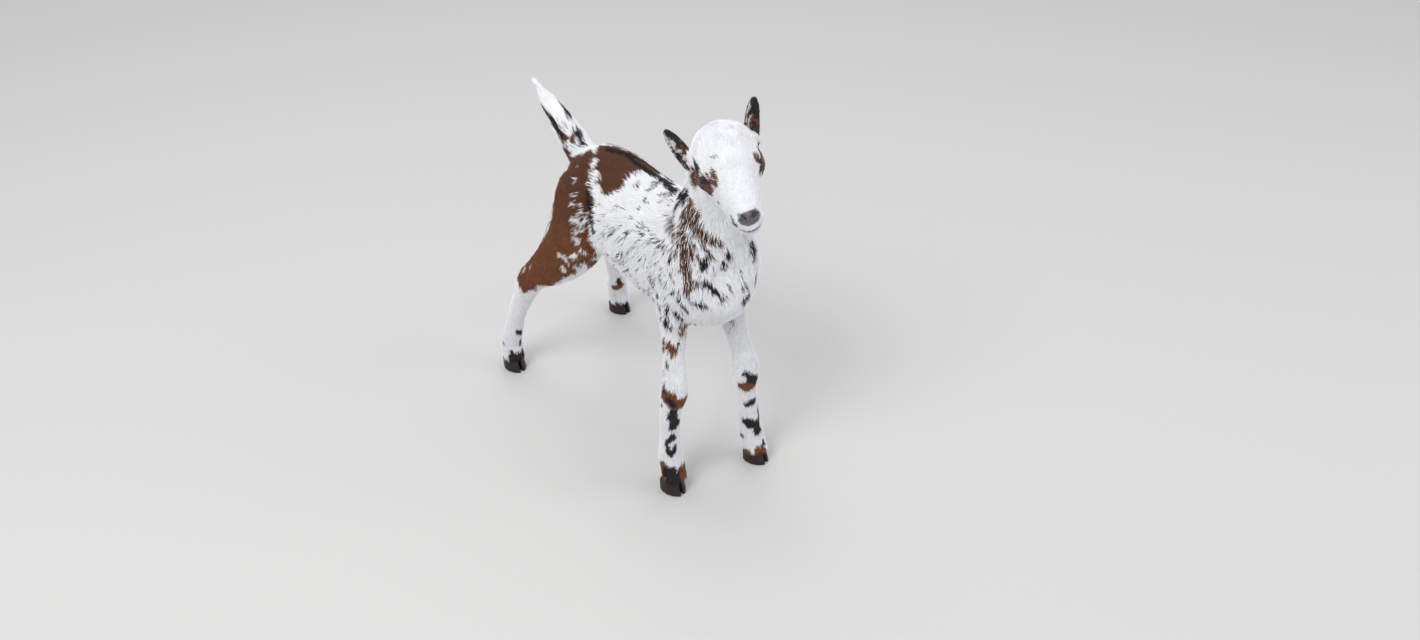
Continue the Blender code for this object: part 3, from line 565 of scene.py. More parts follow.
    "mouth_corner": [
        ("d", 2.2, (903.9, 540.9), (910, 551.9)), ("d", 1.2, (894.9, 522.5), (899, 529.8)),
    ],
    "temple": [
        ("d", 1, (741.1, 281.1), (738.2, 297.5)), ("d", 0.9, (734.1, 317.9), (740.3, 326.1)),
        ("d", 0.5, (826.2, 315.5), (846.6, 313.8)),
    ],
    "tail": [
        ("d", 3.4, (246, 178), (262, 200), (284, 224)), ("b", 2.8, (262, 190), (290, 222)),
        ("d", 3.4, (287, 238), (300, 258), (312, 278)), ("b", 3, (296, 240), (318, 268)),
        ("d", 3.2, (321, 154), (336, 188)), ("b", 2.4, (326, 160), (338, 182)),
        ("d", 3.4, (366, 234), (378, 268)), ("b", 2.8, (340, 252), (352, 268)),
        ("d", 1.8, (312, 214), (318, 226)),
    ],
    "right_foreleg_ring": [
        ("d", 2.5, (687, 1297), (674, 1320), (667, 1350), (680, 1369), (693, 1358), (696, 1338)),
        ("d", 2.3, (687, 1297), (694, 1312)), ("w", 1.6, (682, 1334)),
    ],
    "behind_haunch": [
        ("b", 10, (-16, 198, 256), (-28, 196, 240), (-38, 198, 215), (-44, 202, 193)),
        ("b", 9, (-46, 206, 180), (-52, 216, 166), (-58, 226, 150), (-62, 230, 142)),
        ("b", 9, (-42, 188, 228), (-50, 194, 205), (-56, 203, 184), (-61, 214, 163)),
    ],
}
print("marks:", sum(len(group) for group in MARKS.values()))

# %% [markdown]
# ## The lie of the coat
# Hair lies back along the body and down the flanks and legs. Its ways are listed at a few seats, placed in
# millimetres, and each point takes a blend of them in which the nearest seat counts most. The lower legs, the
# tail, the head and the ears each have a lie of their own.

# %% Seats and ways
LIE = [
    ((0, 40, 262), (0, 1, 0)), ((0, 110, 270), (0, 1, 0)), ((0, 170, 262), (0, 0.9, -0.2)),
    ((-40, 60, 215), (0, 0.50, -0.86)), ((-42, 110, 205), (0, 0.6, -0.8)), ((-35, 90, 165), (0, 0.6, -0.8)),
    ((-45, 160, 230), (0, 0.6, -0.8)), ((-52, 180, 190), (0, 0.45, -0.9)),
    ((-55, 190, 160), (0, 0.35, -0.95)), ((-38, 20, 220), (0, 0.25, -0.97)), ((-38, 10, 180), (0, 0.15, -1)),
    ((-22, -15, 255), (0.15, -0.25, -0.95)), ((-22, -32, 215), (0.35, -0.10, -0.95)),
    ((0, -45, 200), (0, 0.05, -1)), ((0, -30, 165), (0, 0.6, -0.8)), ((0, 60, 140), (0, 1, 0)),
    ((0, 120, 150), (0, 1, 0.1)), ((-15, 5, 300), (-0.1, 0.1, -1)),
]
LIE += [((-x, y, z), (-a, b, c)) for (x, y, z), (a, b, c) in LIE if x]
SEATS = np.array([seat for seat, way in LIE]) / 1000 + MOVED
WAYS = unit(np.array([way for seat, way in LIE]))


def lie_at(points, normals, kinds):
    apart = np.stack([((points - seat) ** 2).sum(1) for seat in SEATS], 1)
    way = unit((1 / (apart + 0.0002) ** 3) @ WAYS)
    way[is_kind(kinds, "lower")] = (0, 0.08, -1)
    way[is_kind(kinds, "tail")] = TAIL_WAY
    spot = local(points, HEAD)
    back = np.ones(spot.shape)
    back[:, 0] = 0.35 * np.clip(spot[:, 0] / 0.02, -1, 1)
    back[:, 2] = -0.55 * np.clip(-spot[:, 2] / 0.02 + 0.2, -0.6, 1.2)
    on_head_here = is_kind(kinds, "head")
    way[on_head_here] = unit(turned(back, HEAD.inverted()))[on_head_here]
    for side, (base, axis, opening) in EARS.items():
        here = is_kind(kinds, "ear") & (np.sign(spot[:, 0]) == side_of(side))
        way[here] = turned(np.array([axis.normalized()]), HEAD.inverted())[0]
    way = way - normals * (way * normals).sum(1, keepdims=True)
    return unit(way + 1e-6)


lie = lie_at(place, facing, kind_of)
print("lie seats:", len(LIE))


# %% Grain: smooth random values over the skin
def grain(points, scale, seed):
    offset = Vector((seed * 7.1, seed * 3.3, seed * 5.7))
    return np.array([noise.noise(Vector(point) * scale + offset) for point in points])


coarse, fine = grain(place, 150, 1), grain(place, 420, 2)
print("grain:", round(coarse.min(), 2), round(coarse.max(), 2))

# %% Paint the strokes on the skin
FAR_HAUNCH = ("saddle", "haunch", "thigh", "haunch_edge", "white_ticks", "behind_haunch")
FAR_FRONT = ("shoulder", "back_flecks")
THIN_BLACK = ("back_flecks", "chest")
chestnut, black = np.zeros(len(place)), np.zeros(len(place))
seat = place - MOVED


def paint_stroke(kind, radius, line, strength=1.0):
    line = np.array(line, float) / 1000
    radius = radius / 1000
    near = np.abs(seat - line.mean(0)).max(1) < radius + 0.004 + np.abs(line - line.mean(0)).max()
    gap = near_line(seat[near], line)
    wobble = (0.0016 * coarse[near] + 0.0012 * fine[near]) * min(1, radius / 0.003)
    share = strength * clamp(0.5 + (radius - gap + wobble) / 0.0012)
    if kind == "b":
        chestnut[near] = np.maximum(chestnut[near], share)
    elif kind == "d":
        black[near] = np.maximum(black[near], share)
    else:
        chestnut[near] *= 1 - share
        black[near] *= 1 - share


def across(line, with_leg=0.0):
    """The same stroke on the far side, where the hind leg stands further back and takes it along."""
    return [(-x + with_leg * max(0, 205 - z) / 12, y + with_leg * max(0, 205 - z) / 4, z) for x, y, z in line]


for name, group in MARKS.items():
    for kind, radius, *line in group:
        line = [point if len(point) == 3 else cast(*point) for point in line]
        paint_stroke(kind, radius, line, 0.78 if name in THIN_BLACK and kind == "d" else 1.0)
        if name in FAR_HAUNCH:
            paint_stroke(kind, radius, across(line, 1.0))
        if name in FAR_FRONT:
            paint_stroke(kind, radius, across([(x, y + 6, z) for x, y, z in line]))
print("painted:", round(chestnut.mean(), 3), "chestnut and", round(black.mean(), 3), "black")

# %% Small flecks over the flanks and shoulders
FLECKS = 820
chance = np.random.default_rng(11)
flank = is_kind(kind_of, "torso") & (chestnut < 0.2)
flank &= (seat[:, 1] > -0.01) & (seat[:, 1] < 0.150) & (seat[:, 2] > 0.135) & (seat[:, 2] < 0.268)
weight = flank * (0.30 + 0.70 * bell(seat[:, 1], 0.035, 0.045)) * np.clip(0.5 + 1.4 * coarse, 0.05, 1)
for vertex in chance.choice(len(seat), FLECKS, p=weight / weight.sum()):
    start = seat[vertex]
    long = chance.uniform(0.0010, 0.0038)
    line = [start - lie[vertex] * long, start + lie[vertex] * long]
    paint_stroke("d", chance.uniform(0.45, 0.95), np.array(line) * 1000, chance.uniform(0.4, 0.9))
print("flecks:", FLECKS, "black share now", round(black.mean(), 3))

# %% Ears: a dark rim, chestnut and black spots, and a bare inside
ear = is_kind(kind_of, "ear")
inner = np.zeros(len(place))
for side, (base, axis, opening) in EARS.items():
    here = ear & (np.sign(in_head[:, 0]) == side_of(side))
    up = (in_head - np.array(base)) @ np.array(axis.normalized()) / axis.length
    out = turned(facing, Matrix.Translation(SHIFT) @ HEAD) @ np.array(opening.normalized())
    cup_side = axis.cross(opening).normalized()
    aside = (in_head - np.array(base)) @ np.array(cup_side) / 0.0058
    ear_rim = bell(out, 0.1, 0.40)
    inner[here] = clamp((out[here] - 0.62 + 0.25 * coarse[here]) * 5)
    spots = clamp((fine + 0.8 * coarse + 0.06) * 9)
    shaded = clamp((up - 0.58 + 0.30 * aside + 0.25 * coarse) * 7)
    black[here] = clamp(np.maximum.reduce([shaded, ear_rim * (0.4 + 1.2 * up), spots]))[here]
    red = clamp((aside + 0.25 + 0.4 * fine) * 6) * clamp((0.72 - up) * 6)
    chestnut[here] = clamp(np.maximum(red, (1 - inner) * 1.4))[here]
    black[here] *= np.where(red > 0.5, clamp((fine + 0.30) * 6), 1)[here]
print("ear vertices:", int(ear.sum()))

# %% Nose, lips and lid edges are bare, and the lids have a ring of chestnut
NOSE, NOSE_SIZE = (0.0006, -0.0612, -0.0152), (0.0090, 0.0085, 0.0062)
LIP_LINE = ((0, 0.0030, 0.0065, 0.0095, 0.0122), (-0.0262, -0.0258, -0.0246, -0.0226, -0.0186))
nose = clamp(1.7 - np.linalg.norm((in_head - NOSE) / NOSE_SIZE, axis=1) * 1.25)
nose = clamp((nose - 0.45 + 0.15 * fine) * 7) * on_head
from_middle = np.abs(in_head[:, 0])
lip_height = np.interp(from_middle, *LIP_LINE)
under = clamp((lip_height - in_head[:, 2]) / 0.0006 + 0.5) * clamp((0.0135 - from_middle) / 0.002)
lip = on_head * np.maximum(bell(mouth, 0, 0.0011), under * bell(mouth, 0.0005, 0.0009))
rim = on_head * clamp((1.10 - lids) * 9)
ring_fur = on_head * clamp((1.95 + 0.5 * coarse + 0.3 * fine - lids) * 4)
chestnut = np.maximum(chestnut, ring_fur)
bare = np.maximum.reduce([nose, rim, lip, 0.8 * inner * (1 - np.maximum(black, chestnut))])
print("bare:", int((bare > 0.5).sum()), "vertices")


# %% Keep the markings, and the painted shade of mouth and nostrils, on the skin
def keep_colour(mesh, name, values):
    layer = mesh.attributes.new(name, "FLOAT_COLOR", "POINT")
    layer.data.foreach_set("color", np.ascontiguousarray(values, dtype=np.float32).ravel())


count = len(place)
# the last value, 0.25, gives the skin under the coat the same painted root shade
keep_colour(skin.data, "marks", np.stack([chestnut, black, 0.5 + 0.3 * fine, np.full(count, 0.25)], 1))
# painted shade: the mouth's crease and the lower lip under it are painted near black; the lid rims are dark
# too
mouth_shade_and_lid_rims = np.maximum(lip, 0.8 * rim)
# painted shade: the inside of each nostril is painted black
keep_colour(skin.data, "naked", np.stack([bare, inner * ear, mouth_shade_and_lid_rims, on_head * bell(nostril, 0, 0.0019)], 1))
print("kept on:", count, "vertices")

# %% Unwrap the skin
only(skin)
bpy.ops.object.shade_smooth()
edit_all(lambda: bpy.ops.uv.smart_project(angle_limit=math.radians(66), island_margin=0.001))
skin.data.uv_layers[0].name = "OFBake"
print("skin faces:", len(skin.data.polygons))

# %% [markdown]
# ## Shaders
# One node group turns the markings into the coat's colour, with painted shade towards each tuft's root, and
# the skin and every tuft use it. A fine noise gives the bare hide its pebbles and the horn its blotches.


# %% Helpers for nodes
def group_of(name, inputs, outputs):
    net = bpy.data.node_groups.new(name, "ShaderNodeTree")
    for label, kind, value in inputs:
        socket = net.interface.new_socket(label, in_out="INPUT", socket_type=kind)
        socket.default_value = value
    for label, kind in outputs:
        net.interface.new_socket(label, in_out="OUTPUT", socket_type=kind)
    return net, net.nodes.new("NodeGroupInput"), net.nodes.new("NodeGroupOutput")


def maths(net, operation, first, second):
    node = net.nodes.new("ShaderNodeMath")
    node.operation = operation
    for socket, value in zip(node.inputs, (first, second)):
        if isinstance(value, (int, float)):
            socket.default_value = value
        else:
            net.links.new(value, socket)
    return node.outputs[0]


def times(net, first, second):
    return maths(net, "MULTIPLY", first, second)


def plus(net, first, second):
    return maths(net, "ADD", first, second)


def held(net, value, top=1):
    return maths(net, "MINIMUM", maths(net, "MAXIMUM", value, 0), top)


def mix(net, factor, first, second, blend="MIX"):
    node = net.nodes.new("ShaderNodeMix")
    node.data_type, node.blend_type = "RGBA", blend
    for key, value in ((0, factor), (6, first), (7, second)):
        if isinstance(value, (int, float, tuple)):
            node.inputs[key].default_value = value
        else:
            net.links.new(value, node.inputs[key])
    return node.outputs[2]


def speckle(net, vector, scale, detail=3):
    node = net.nodes.new("ShaderNodeTexNoise")
    node.inputs["Scale"].default_value, node.inputs["Detail"].default_value = scale, detail
    net.links.new(vector, node.inputs["Vector"])
    return node.outputs[0]


# %% The coat's colour, with painted shade towards each tuft's root
coat_group, given, made = group_of(
    "coat_colour_and_shade", [("Marks", "NodeSocketColor", (0, 0, 0.5, 1)), ("Along", "NodeSocketFloat", 0.5)],
    [("Colour", "NodeSocketColor")])
parts = coat_group.nodes.new("ShaderNodeSeparateColor")
coat_group.links.new(given.outputs["Marks"], parts.inputs[0])
spot = coat_group.nodes.new("ShaderNodeTexCoord").outputs["Object"]
patchy = speckle(coat_group, spot, 45)
# each colour runs from its darkest tuft to its palest
# the white's dark end is a bluish shade colour: random tufts go part of the way to it, and the painted shade
# where the crown's locks part goes most of the way
white = mix(coat_group, parts.outputs[2], (0.50, 0.52, 0.56, 1), (0.94, 0.937, 0.930, 1))
white = mix(coat_group, times(coat_group, patchy, 0.35), white, (0.76, 0.76, 0.78, 1))
brown = mix(coat_group, parts.outputs[2], (0.050, 0.021, 0.013, 1), (0.335, 0.112, 0.034, 1))
brown = mix(coat_group, times(coat_group, patchy, 0.7), brown, (0.130, 0.046, 0.020, 1))
dark = mix(coat_group, parts.outputs[2], (0.004, 0.0035, 0.004, 1), (0.020, 0.016, 0.018, 1))
shade = mix(coat_group, parts.outputs[0], white, brown)
shade = mix(coat_group, parts.outputs[1], shade, dark)
# painted shade: each tuft is multiplied darker towards its root, where it lies under the coat, and a little
# brighter at its tip
tip = plus(coat_group, times(coat_group, given.outputs["Along"], 0.22), 0.84)
root_shade = coat_group.nodes.new("ShaderNodeCombineColor")
for socket in root_shade.inputs:
    coat_group.links.new(tip, socket)
coat_group.links.new(mix(coat_group, 1.0, shade, root_shade.outputs[0], "MULTIPLY"), made.inputs["Colour"])
print("group:", coat_group.name)


# %% Materials start from these
def material(name, roughness, **settings):
    stuff = bpy.data.materials.new(name)
    stuff.use_nodes = True
    shader = stuff.node_tree.nodes["Principled BSDF"]
    shader.inputs["Roughness"].default_value = roughness
    for key, value in settings.items():
        shader.inputs[key.replace("_", " ")].default_value = value
    return stuff, stuff.node_tree, shader


def attribute(net, name):
    node = net.nodes.new("ShaderNodeAttribute")
    node.attribute_name = name
    return node


def bump(net, shader, height, distance, strength=1.0):
    node = net.nodes.new("ShaderNodeBump")
    node.inputs["Distance"].default_value, node.inputs["Strength"].default_value = distance, strength
    net.links.new(height, node.inputs["Height"])
    net.links.new(node.outputs[0], shader.inputs["Normal"])


def coat_colour_and_shade(net):
    marks = attribute(net, "marks")
    node = net.nodes.new("ShaderNodeGroup")
    node.node_tree = coat_group
    net.links.new(marks.outputs["Color"], node.inputs["Marks"])
    net.links.new(marks.outputs["Alpha"], node.inputs["Along"])
    return node.outputs["Colour"]


# %% Coat and skin materials
coat_stuff, net, shader = material(
    "coat", 0.62, Sheen_Weight=0.03, Sheen_Roughness=0.5, Specular_IOR_Level=0.22)
net.links.new(coat_colour_and_shade(net), shader.inputs["Base Color"])
skin_stuff, net, shader = material("skin", 0.6)
naked = attribute(net, "naked")
cut = net.nodes.new("ShaderNodeSeparateColor")
net.links.new(naked.outputs["Color"], cut.inputs[0])
where = net.nodes.new("ShaderNodeTexCoord").outputs["Object"]
pebbles = speckle(net, where, 900, 2)
hide = mix(net, pebbles, (0.024, 0.020, 0.022, 1), (0.20, 0.17, 0.175, 1))
hide = mix(net, cut.outputs[1], hide, (0.64, 0.50, 0.47, 1))
# painted shade in the nostrils and along the mouth, and the dark lid rims, turn the hide near black
painted_shade_and_lid_rims = maths(net, "MAXIMUM", cut.outputs[2], naked.outputs["Alpha"])
hide = mix(net, painted_shade_and_lid_rims, hide, (0.012, 0.009, 0.010, 1))
net.links.new(mix(net, cut.outputs[0], coat_colour_and_shade(net), hide), shader.inputs["Base Color"])
moist = maths(net, "SUBTRACT", 0.66, times(net, cut.outputs[0], 0.28))
net.links.new(moist, shader.inputs["Roughness"])
bump(net, shader, pebbles, 0.0004, 0.6)
skin.data.materials.append(skin_stuff)
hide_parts(*FLESH)
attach(skin, "root")
print("skin stands for", len(FLESH), "nodes")

# %% [markdown]
# ## The coat
# Tufts are thin wedges with a ridge, rooted under the skin, laid along the coat and lapped as shingles are.
# Their places are drawn at random over the skin by its area. Each takes its colour from the markings a little
# way along the lie, which frays every edge of a patch as real hair does. Its tip follows the skin under it.

# %% Where hair grows, and how densely
skin.data.calc_loop_triangles()
triangles = array_of(skin.data.loop_triangles, "vertices", 3).astype(int)
loops = array_of(skin.data.loop_triangles, "loops", 3).astype(int)
uvs = array_of(skin.data.uv_layers["OFBake"].data, "uv", 2)
corner = place[triangles]
area = np.linalg.norm(np.cross(corner[:, 1] - corner[:, 0], corner[:, 2] - corner[:, 0]), axis=1) / 2
table = np.array([KINDS[name] for name in KIND_NAMES])
bald = [nose, on_head * clamp((1.10 - lids) * 10), clamp(2.0 * lip - 1.0), 0.45 * inner]
free = 1 - clamp(np.maximum.reduce(bald))
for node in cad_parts:
    if node.startswith("claw"):
        low, high = [np.array(v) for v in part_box(node)]
        free[((place > low - 0.0004) & (place < high - (0, 0, 0.0012))).all(1)] = 0
free = free * (1 + 1.5 * tail_here * ramp(up_tail(place), 0.345, 0.02))
dense = np.array([table[kind_of, 1][triangles[:, i]] * free[triangles[:, i]] for i in range(3)]).mean(0) * 1e6
print("skin area in square cm:", round(area.sum() * 1e4))

# %% Draw the roots
rng = np.random.default_rng(23)
amount = int((area * dense).sum() * (1))
pick = rng.choice(len(area), amount, p=area * dense / (area * dense).sum())
first, second = np.sqrt(rng.random(amount)), rng.random(amount)
bary = np.stack([1 - first, first * (1 - second), first * second], 1)


def carried(values):
    values = values if values.ndim == 2 else values[:, None]
    return sum(values[triangles[pick, i]] * bary[:, i:i + 1] for i in range(3))


root = carried(place)
normal = unit(carried(facing))
kinds = kind_of[triangles[pick, 0]]
bake = sum(uvs[loops[pick, i]] * bary[:, i:i + 1] for i in range(3))
print("tufts:", amount)

# %% Which way each lies: in locks on the crown, and to one point in the tail's brush
way = lie_at(root, normal, kinds)
swirl = np.radians(rng.normal(0, 9, amount)) + 0.55 * grain(root, 60, 3) + 0.35 * grain(root, 190, 4)
back_of_head = local(root, HEAD)[:, 1]
crown = is_kind(kinds, "head") * ramp(back_of_head, -0.030, 0.02)
locks = grain(root, 105, 6)
swirl = swirl + crown * 1.3 * locks
side = np.cross(normal, way)
way = way * np.cos(swirl)[:, None] + side * np.sin(swirl)[:, None]
tail_end = is_kind(kinds, "tail") * ramp(up_tail(root), 0.338, 0.015)
to_tip = TAIL_TIP + 0.004 * TAIL_WAY - root
far_off = np.linalg.norm(to_tip, axis=1)
gathered = 0.45 * TAIL_WAY + 0.6 * unit(to_tip) + 0.06 * normal
way = unit(way * (1.02 - tail_end)[:, None] + gathered * tail_end[:, None])
normal = unit(normal - way * (normal * way).sum(1, keepdims=True) + (0.0001, 0, 0.0002))
side = np.cross(normal, way)
print("in the brush:", int((tail_end > 0.5).sum()))

# %% How long, wide and lifted each is
length, width, lift = carried(blurred(table[kind_of, 2:5], 10)).T
muzzle = clamp((-0.020 - back_of_head) / 0.03) * is_kind(kinds, "head")
near_lids = carried(np.clip((lids - 0.7) / 1.8, 0.38, 1))[:, 0]
low_leg = is_kind(kinds, "lower") * clamp((0.026 - root[:, 2]) / 0.008)
length = length * rng.uniform(0.75, 1.25, amount) * (1 - 0.45 * muzzle) * near_lids
length = length * (1 + 0.5 * low_leg) * (1 + 0.3 * tail_end)
at_most = far_off * rng.uniform(0.85, 1.10, amount) + 0.0016
length = np.where(tail_end > 0.1, np.minimum(length, at_most), length)
width = width * rng.uniform(0.75, 1.3, amount)
lift = np.radians(lift * (0.8 + 1.1 * clamp(grain(root, 130, 5) + 0.35)) + rng.normal(0, 2.5, amount))
lift = lift * (1 - 0.8 * tail_end) * (1 - 0.35 * low_leg)
print("lengths in mm:", round(length.min() * 1000, 1), "to", round(length.max() * 1000, 1))

# %% Take the markings from a little way along the lie
nearest_skin = finder(place)
reach = root + way * (rng.normal(0, 0.0011, amount) * np.clip(length / 0.005, 0.5, 1.5))[:, None]
nearest = nearest_skin(reach)
cut = rng.uniform(0.25, 0.85, (2, amount))
streaky = is_kind(kinds, "torso", "neck") & (root[:, 1] - SHIFT[1] < 0.035)
brown_on = (chestnut[nearest] > cut[0]) & ~(streaky & (rng.random(amount) < 0.16))
black_on = (black[nearest] > cut[1]) | (brown_on & streaky & (rng.random(amount) < 0.14))
tone = rng.random(amount) * 0.75 + 0.25 * (0.5 + fine[nearest])
print("chestnut:", int(brown_on.sum()), "black:", int(black_on.sum()))

# %% The tone: chestnut pales down the flank, and the crown's hair gets painted shade in thin lines where its locks part
pale_below = clamp((0.262 - root[:, 2]) / 0.05) * np.where(is_kind(kinds, "neck"), 0.55, 1)
around_eye = carried(blurred(ring_fur, 4))[:, 0]
brown_tone = tone * (0.25 + 0.75 * pale_below) * (1 - 0.55 * around_eye)
# painted shade: white tufts where the crown's locks part are darkened towards the white's bluish dark end
parting_shade = crown * bell(locks, 0, 0.05) * (rng.random(amount) < 0.8)
white_tone = (0.5 + 0.5 * tone) * (1 - 0.75 * parting_shade)
hue = np.stack([brown_on, black_on, np.where(brown_on, brown_tone, white_tone)], 1)
print("tone:", round(hue[:, 2].min(), 2), "to", round(hue[:, 2].max(), 2))

# %% Tips that follow the skin, so that no tuft sinks in a hollow
straight = root + way * length[:, None]
under_tip = nearest_skin(straight)
outward = facing[under_tip]
gap = ((straight - place[under_tip]) * outward).sum(1, keepdims=True)
rise = (length * np.sin(lift) - 0.0001)[:, None]
bend = outward * rise - outward * gap
bend *= np.minimum(1, 0.45 * length / (np.linalg.norm(bend, axis=1) + 1e-9))[:, None]
free_tip = np.maximum(tail_end, low_leg)[:, None]
bend = bend * (1 - free_tip) + normal * rise * free_tip
print("bent by up to", round(np.linalg.norm(bend, axis=1).max() * 1000, 1), "mm")


# %% Build the wedges
STUBBY = [(0, 3, 1), (1, 3, 2), (0, 2, 3), (0, 1, 2)]
LONG = [(0, 3, 4), (0, 4, 1), (1, 4, 5), (1, 5, 2), (0, 2, 5)]
LONG += [(0, 5, 3), (3, 6, 4), (4, 6, 5), (3, 5, 6), (0, 1, 2)]


def wedges(name, chosen, long_form):
    n, s = normal[chosen], side[chosen]
    wide = width[chosen, None]
    end = straight[chosen] + bend[chosen]
    base = root[chosen] - n * 0.00035
    rows = [base - s * wide / 2, base + n * wide * 0.4, base + s * wide / 2]
    along = [0, 0, 0]
    spread = [(-0.0015, -0.0015), (0, -0.0015), (0.0015, -0.0015)]
    if long_form:
        half = (base + end) / 2 + n * length[chosen, None] * 0.03
        rows += [half - s * wide * 0.42, half + n * wide * 0.3, half + s * wide * 0.42]
        along += [0.5, 0.5, 0.5]
        spread += [(-0.0012, 0), (0, 0), (0.0012, 0)]
    points = np.stack(rows + [end], 1)
    size, faces = points.shape[1], np.array(LONG if long_form else STUBBY)
    index = (np.arange(len(points))[:, None, None] * size + faces[None]).reshape(-1)
    mesh = bpy.data.meshes.new(name)
    mesh.vertices.add(len(points) * size)
    mesh.vertices.foreach_set("co", points.reshape(-1).astype(np.float32))
    mesh.loops.add(len(index))
    mesh.loops.foreach_set("vertex_index", index.astype(np.int32))
    mesh.polygons.add(len(index) // 3)
    mesh.polygons.foreach_set("loop_start", np.arange(0, len(index), 3, dtype=np.int32))
    mesh.update(calc_edges=True)
    mesh.shade_flat()
    tones = np.repeat(hue[chosen][:, None, :], size, 1)
    along = np.broadcast_to(np.array(along + [1])[None, :, None], tones.shape[:2] + (1,))
    keep_colour(mesh, "marks", np.concatenate([tones, along], 2))
    spread = np.array(spread + [(0, 0.0015)])
    patch = clamp((bake[chosen][:, None, :] + spread[None]).reshape(-1, 2)[index])
    mesh.uv_layers.new(name="OFBake").data.foreach_set("uv", patch.reshape(-1).astype(np.float32))
    mesh.materials.append(coat_stuff)
    thing = placed(name, mesh)
    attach(thing, "root")
    return thing


GROUPS = {"head": ("head", "ear"), "trunk": ("torso", "neck"), "limbs": ("upper", "lower"), "tail": ("tail",)}
total = 0
for name, members in GROUPS.items():
    chosen = np.flatnonzero(is_kind(kinds, *members))
    step = 19000 if name == "tail" else 48000  # keeps each piece under 200,000 triangles
    for number, start in enumerate(range(0, len(chosen), step)):
        thing = wedges("coat_%s_%d" % (name, number + 1), chosen[start:start + step], name == "tail")
        total += len(thing.data.polygons)
print("coat triangles:", total)

# %% [markdown]
# ## Eyes
# Each eye is a ball with a low bulge in front. Its places in the eye's own frame are kept on the mesh, so
# that the shader can draw the iris and the level, slot-shaped pupil of a goat.

# %% The eye's own frame and its shader
def eye_frame(side):
    """X along the slit towards the nose or the ear, Y up, Z where the eye looks."""
    sign = side_of(side)
    look = Vector((sign * 0.86, -0.48, 0.10)).normalized()
    slit = Vector((0.46 * sign, 0.86, 0.20)) * sign
    slit = (slit - look * slit.dot(look)).normalized()
    up = look.cross(slit)
    turn = Matrix((slit, up, look)).transposed().to_4x4()
    return HEAD @ Matrix.Translation((sign * EYE.x, EYE.y, EYE.z)) @ turn


PUPIL_STRETCH = (2.9, 6.5)
eye_stuff, net, shader = material(
    "eye", 0.10, Coat_Weight=0.3, Coat_Roughness=0.03, Specular_IOR_Level=0.2)
seen = attribute(net, "seen")
split = net.nodes.new("ShaderNodeSeparateXYZ")
net.links.new(seen.outputs["Vector"], split.inputs[0])
axes = (split.outputs[0], split.outputs[1])
squares = [times(net, axis, axis) for axis in axes]
ring = maths(net, "SQRT", plus(net, *squares), 0)
stretched = [times(net, axis, stretch) for axis, stretch in zip(axes, PUPIL_STRETCH)]
slot = plus(net, *[maths(net, "POWER", maths(net, "ABSOLUTE", axis, 0), 4) for axis in stretched])
fibres = speckle(net, seen.outputs["Vector"], 9, 6)
iris = mix(net, fibres, (0.050, 0.022, 0.009, 1), (0.210, 0.105, 0.038, 1))
edge = held(net, times(net, maths(net, "SUBTRACT", ring, 0.56), 9))
iris = mix(net, edge, iris, (0.020, 0.014, 0.012, 1))
pupil = maths(net, "LESS_THAN", slot, 1)
net.links.new(mix(net, pupil, iris, (0.004, 0.004, 0.006, 1)), shader.inputs["Base Color"])
print("eye material:", eye_stuff.name)

# %% The balls
for side_name in ("left", "right"):
    bpy.ops.mesh.primitive_uv_sphere_add(segments=48, ring_count=32, radius=EYE_RADIUS)
    ball = bpy.context.object
    ball.name = ball.data.name = "eyeball_" + side_name
    points = array_of(ball.data.vertices, "co") / EYE_RADIUS
    layer = ball.data.attributes.new("seen", "FLOAT_VECTOR", "POINT")
    layer.data.foreach_set("vector", points.astype(np.float32).ravel())
    swell = 1 + 0.035 * bell(np.hypot(points[:, 0], points[:, 1]), 0, 0.55) * (points[:, 2] > 0)
    solid = np.array(Matrix.Translation(SHIFT) @ eye_frame(side_name))
    points = (points * swell[:, None] * EYE_RADIUS) @ solid[:3, :3].T + solid[:3, 3]
    ball.data.vertices.foreach_set("co", points.ravel())
    ball.data.update()
    ball.data.materials.append(eye_stuff)
    only(ball)
    bpy.ops.object.shade_smooth()
    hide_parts("eye_" + side_name)
    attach(ball, "root")


# %% Lids close over the ball
LID_TURN, LID_YAW = 1.25, 1.02


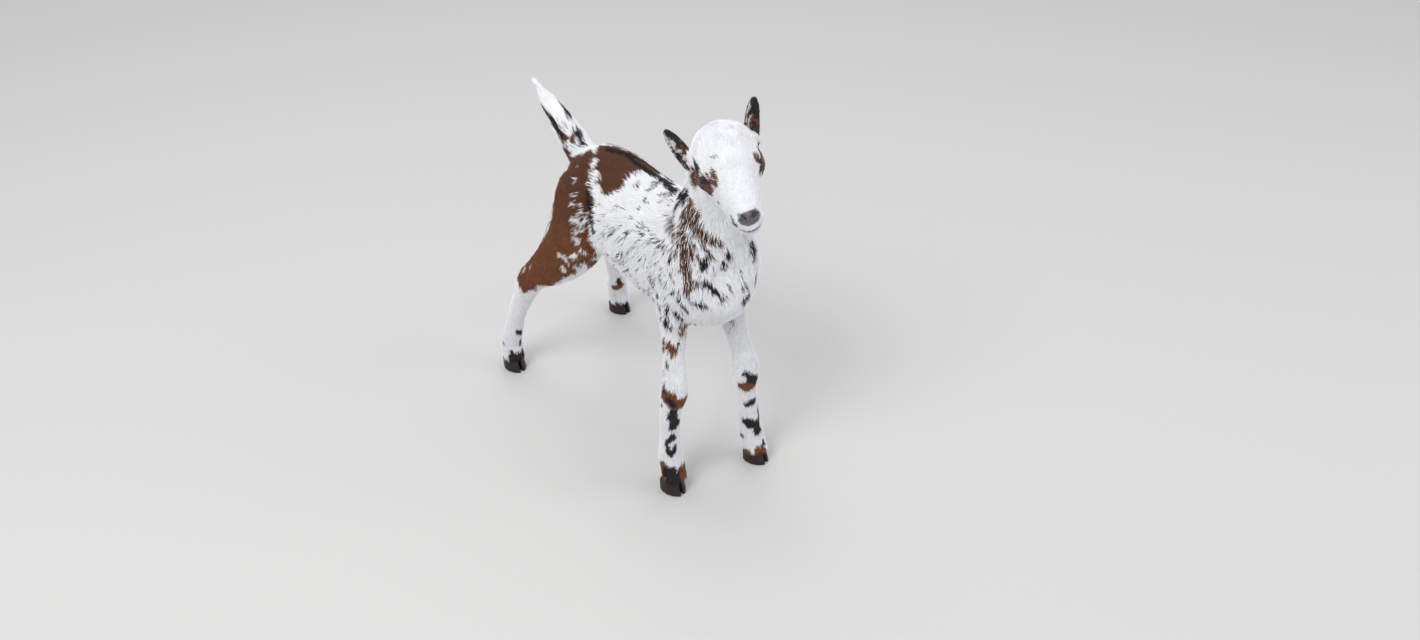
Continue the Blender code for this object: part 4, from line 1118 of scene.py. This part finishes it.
def lid(name, side_name, edge_height, upper):
    """A shell a little larger than the ball, from its edge line up, or down, into the socket."""
    points, columns, rings = [], 40, 9
    for outside in (True, False):
        for ring_number in range(rings):
            depth_share = ring_number / (rings - 1)
            start, fall = (0.00075, 0.0007) if outside else (0.00005, 0.0004)
            radius = EYE_RADIUS + (start - fall * depth_share)
            for column in range(columns):
                sideways = -1 + 2 * column / (columns - 1)
                low_edge = edge_height * (1 - abs(sideways) ** 2.2)
                angle = low_edge + depth_share * ((LID_TURN if upper else -LID_TURN) - low_edge)
                yaw = sideways * LID_YAW
                points.append((math.sin(yaw) * math.cos(angle) * radius, math.sin(angle) * radius,
                               math.cos(yaw) * math.cos(angle) * radius))
    faces, half = [], rings * columns
    for row in range(rings - 1):
        for column in range(columns - 1):
            a, b = row * columns + column, (row + 1) * columns + column
            faces += [(a, a + 1, b + 1, b), (half + a, half + b, half + b + 1, half + a + 1)]
    border = [row * columns for row in range(rings)]
    border += [(rings - 1) * columns + column for column in range(1, columns)]
    border += [row * columns + columns - 1 for row in range(rings - 2, -1, -1)]
    border += list(range(columns - 2, 0, -1))
    faces += [(a, b, half + b, half + a) for a, b in zip(border, border[1:] + border[:1])]
    mesh = bpy.data.meshes.new(name)
    mesh.from_pydata(points, [], faces)
    mesh.transform(Matrix.Translation(SHIFT) @ eye_frame(side_name))
    thing = placed(name, mesh)
    only(thing)
    edit_all(lambda: bpy.ops.mesh.normals_make_consistent(inside=False))
    bpy.ops.object.shade_smooth()
    size = len(mesh.vertices)
    near_edge = np.array([1 - min(1, ((i % half) // columns) / 2.2) for i in range(size)])
    keep_colour(mesh, "marks", np.tile((1.0, 0.45, 0.25, 0.4), (size, 1)))
    keep_colour(mesh, "naked", np.stack([near_edge, 0 * near_edge, 0.75 * near_edge, 0 * near_edge], 1))
    mesh.materials.append(skin_stuff)
    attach(thing, "root")


for side_name in ("left", "right"):
    lid("lid_upper_" + side_name, side_name, 0.15, True)
    lid("lid_lower_" + side_name, side_name, -0.29, False)

# %% [markdown]
# ## Hooves
# Each claw is rounded from its solid. The horn is dark and faintly ringed, with the pale soft rim that a
# newborn kid's hooves still have underneath.

# %% Horn
RING_SCALE, PALE_BELOW = 5200, 480
horn_stuff, net, shader = material("hoof", 0.42, Specular_IOR_Level=0.35)
where = net.nodes.new("ShaderNodeTexCoord").outputs["Object"]
parts = net.nodes.new("ShaderNodeSeparateXYZ")
net.links.new(where, parts.inputs[0])
waver = times(net, speckle(net, where, 120), 9)
rings = maths(net, "SINE", plus(net, times(net, parts.outputs[2], RING_SCALE), waver), 0)
blotch = speckle(net, where, 160)
horn = mix(net, blotch, (0.004, 0.0035, 0.005, 1), (0.026, 0.013, 0.009, 1))
height = plus(net, parts.outputs[2], times(net, blotch, 0.002))
low = held(net, maths(net, "SUBTRACT", 1.1, times(net, height, PALE_BELOW)), 0.85)
net.links.new(mix(net, low, horn, (0.36, 0.32, 0.28, 1)), shader.inputs["Base Color"])
bump(net, shader, rings, 0.00015, 0.5)
print("horn material:", horn_stuff.name)

# %% The hooves
for node in [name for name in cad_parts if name.startswith("claw")]:
    hoof = merged([node], node.replace("claw", "hoof"))
    modify(hoof, "REMESH", mode="VOXEL", voxel_size=0.0006)
    modify(hoof, "SMOOTH", factor=0.5, iterations=8)
    hoof.data.materials.append(horn_stuff)
    bpy.ops.object.shade_smooth()
    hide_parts(node)
    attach(hoof, "root")

# %% [markdown]
# ## Finish

# %% Clear the selection
bpy.ops.object.select_all(action="DESELECT")
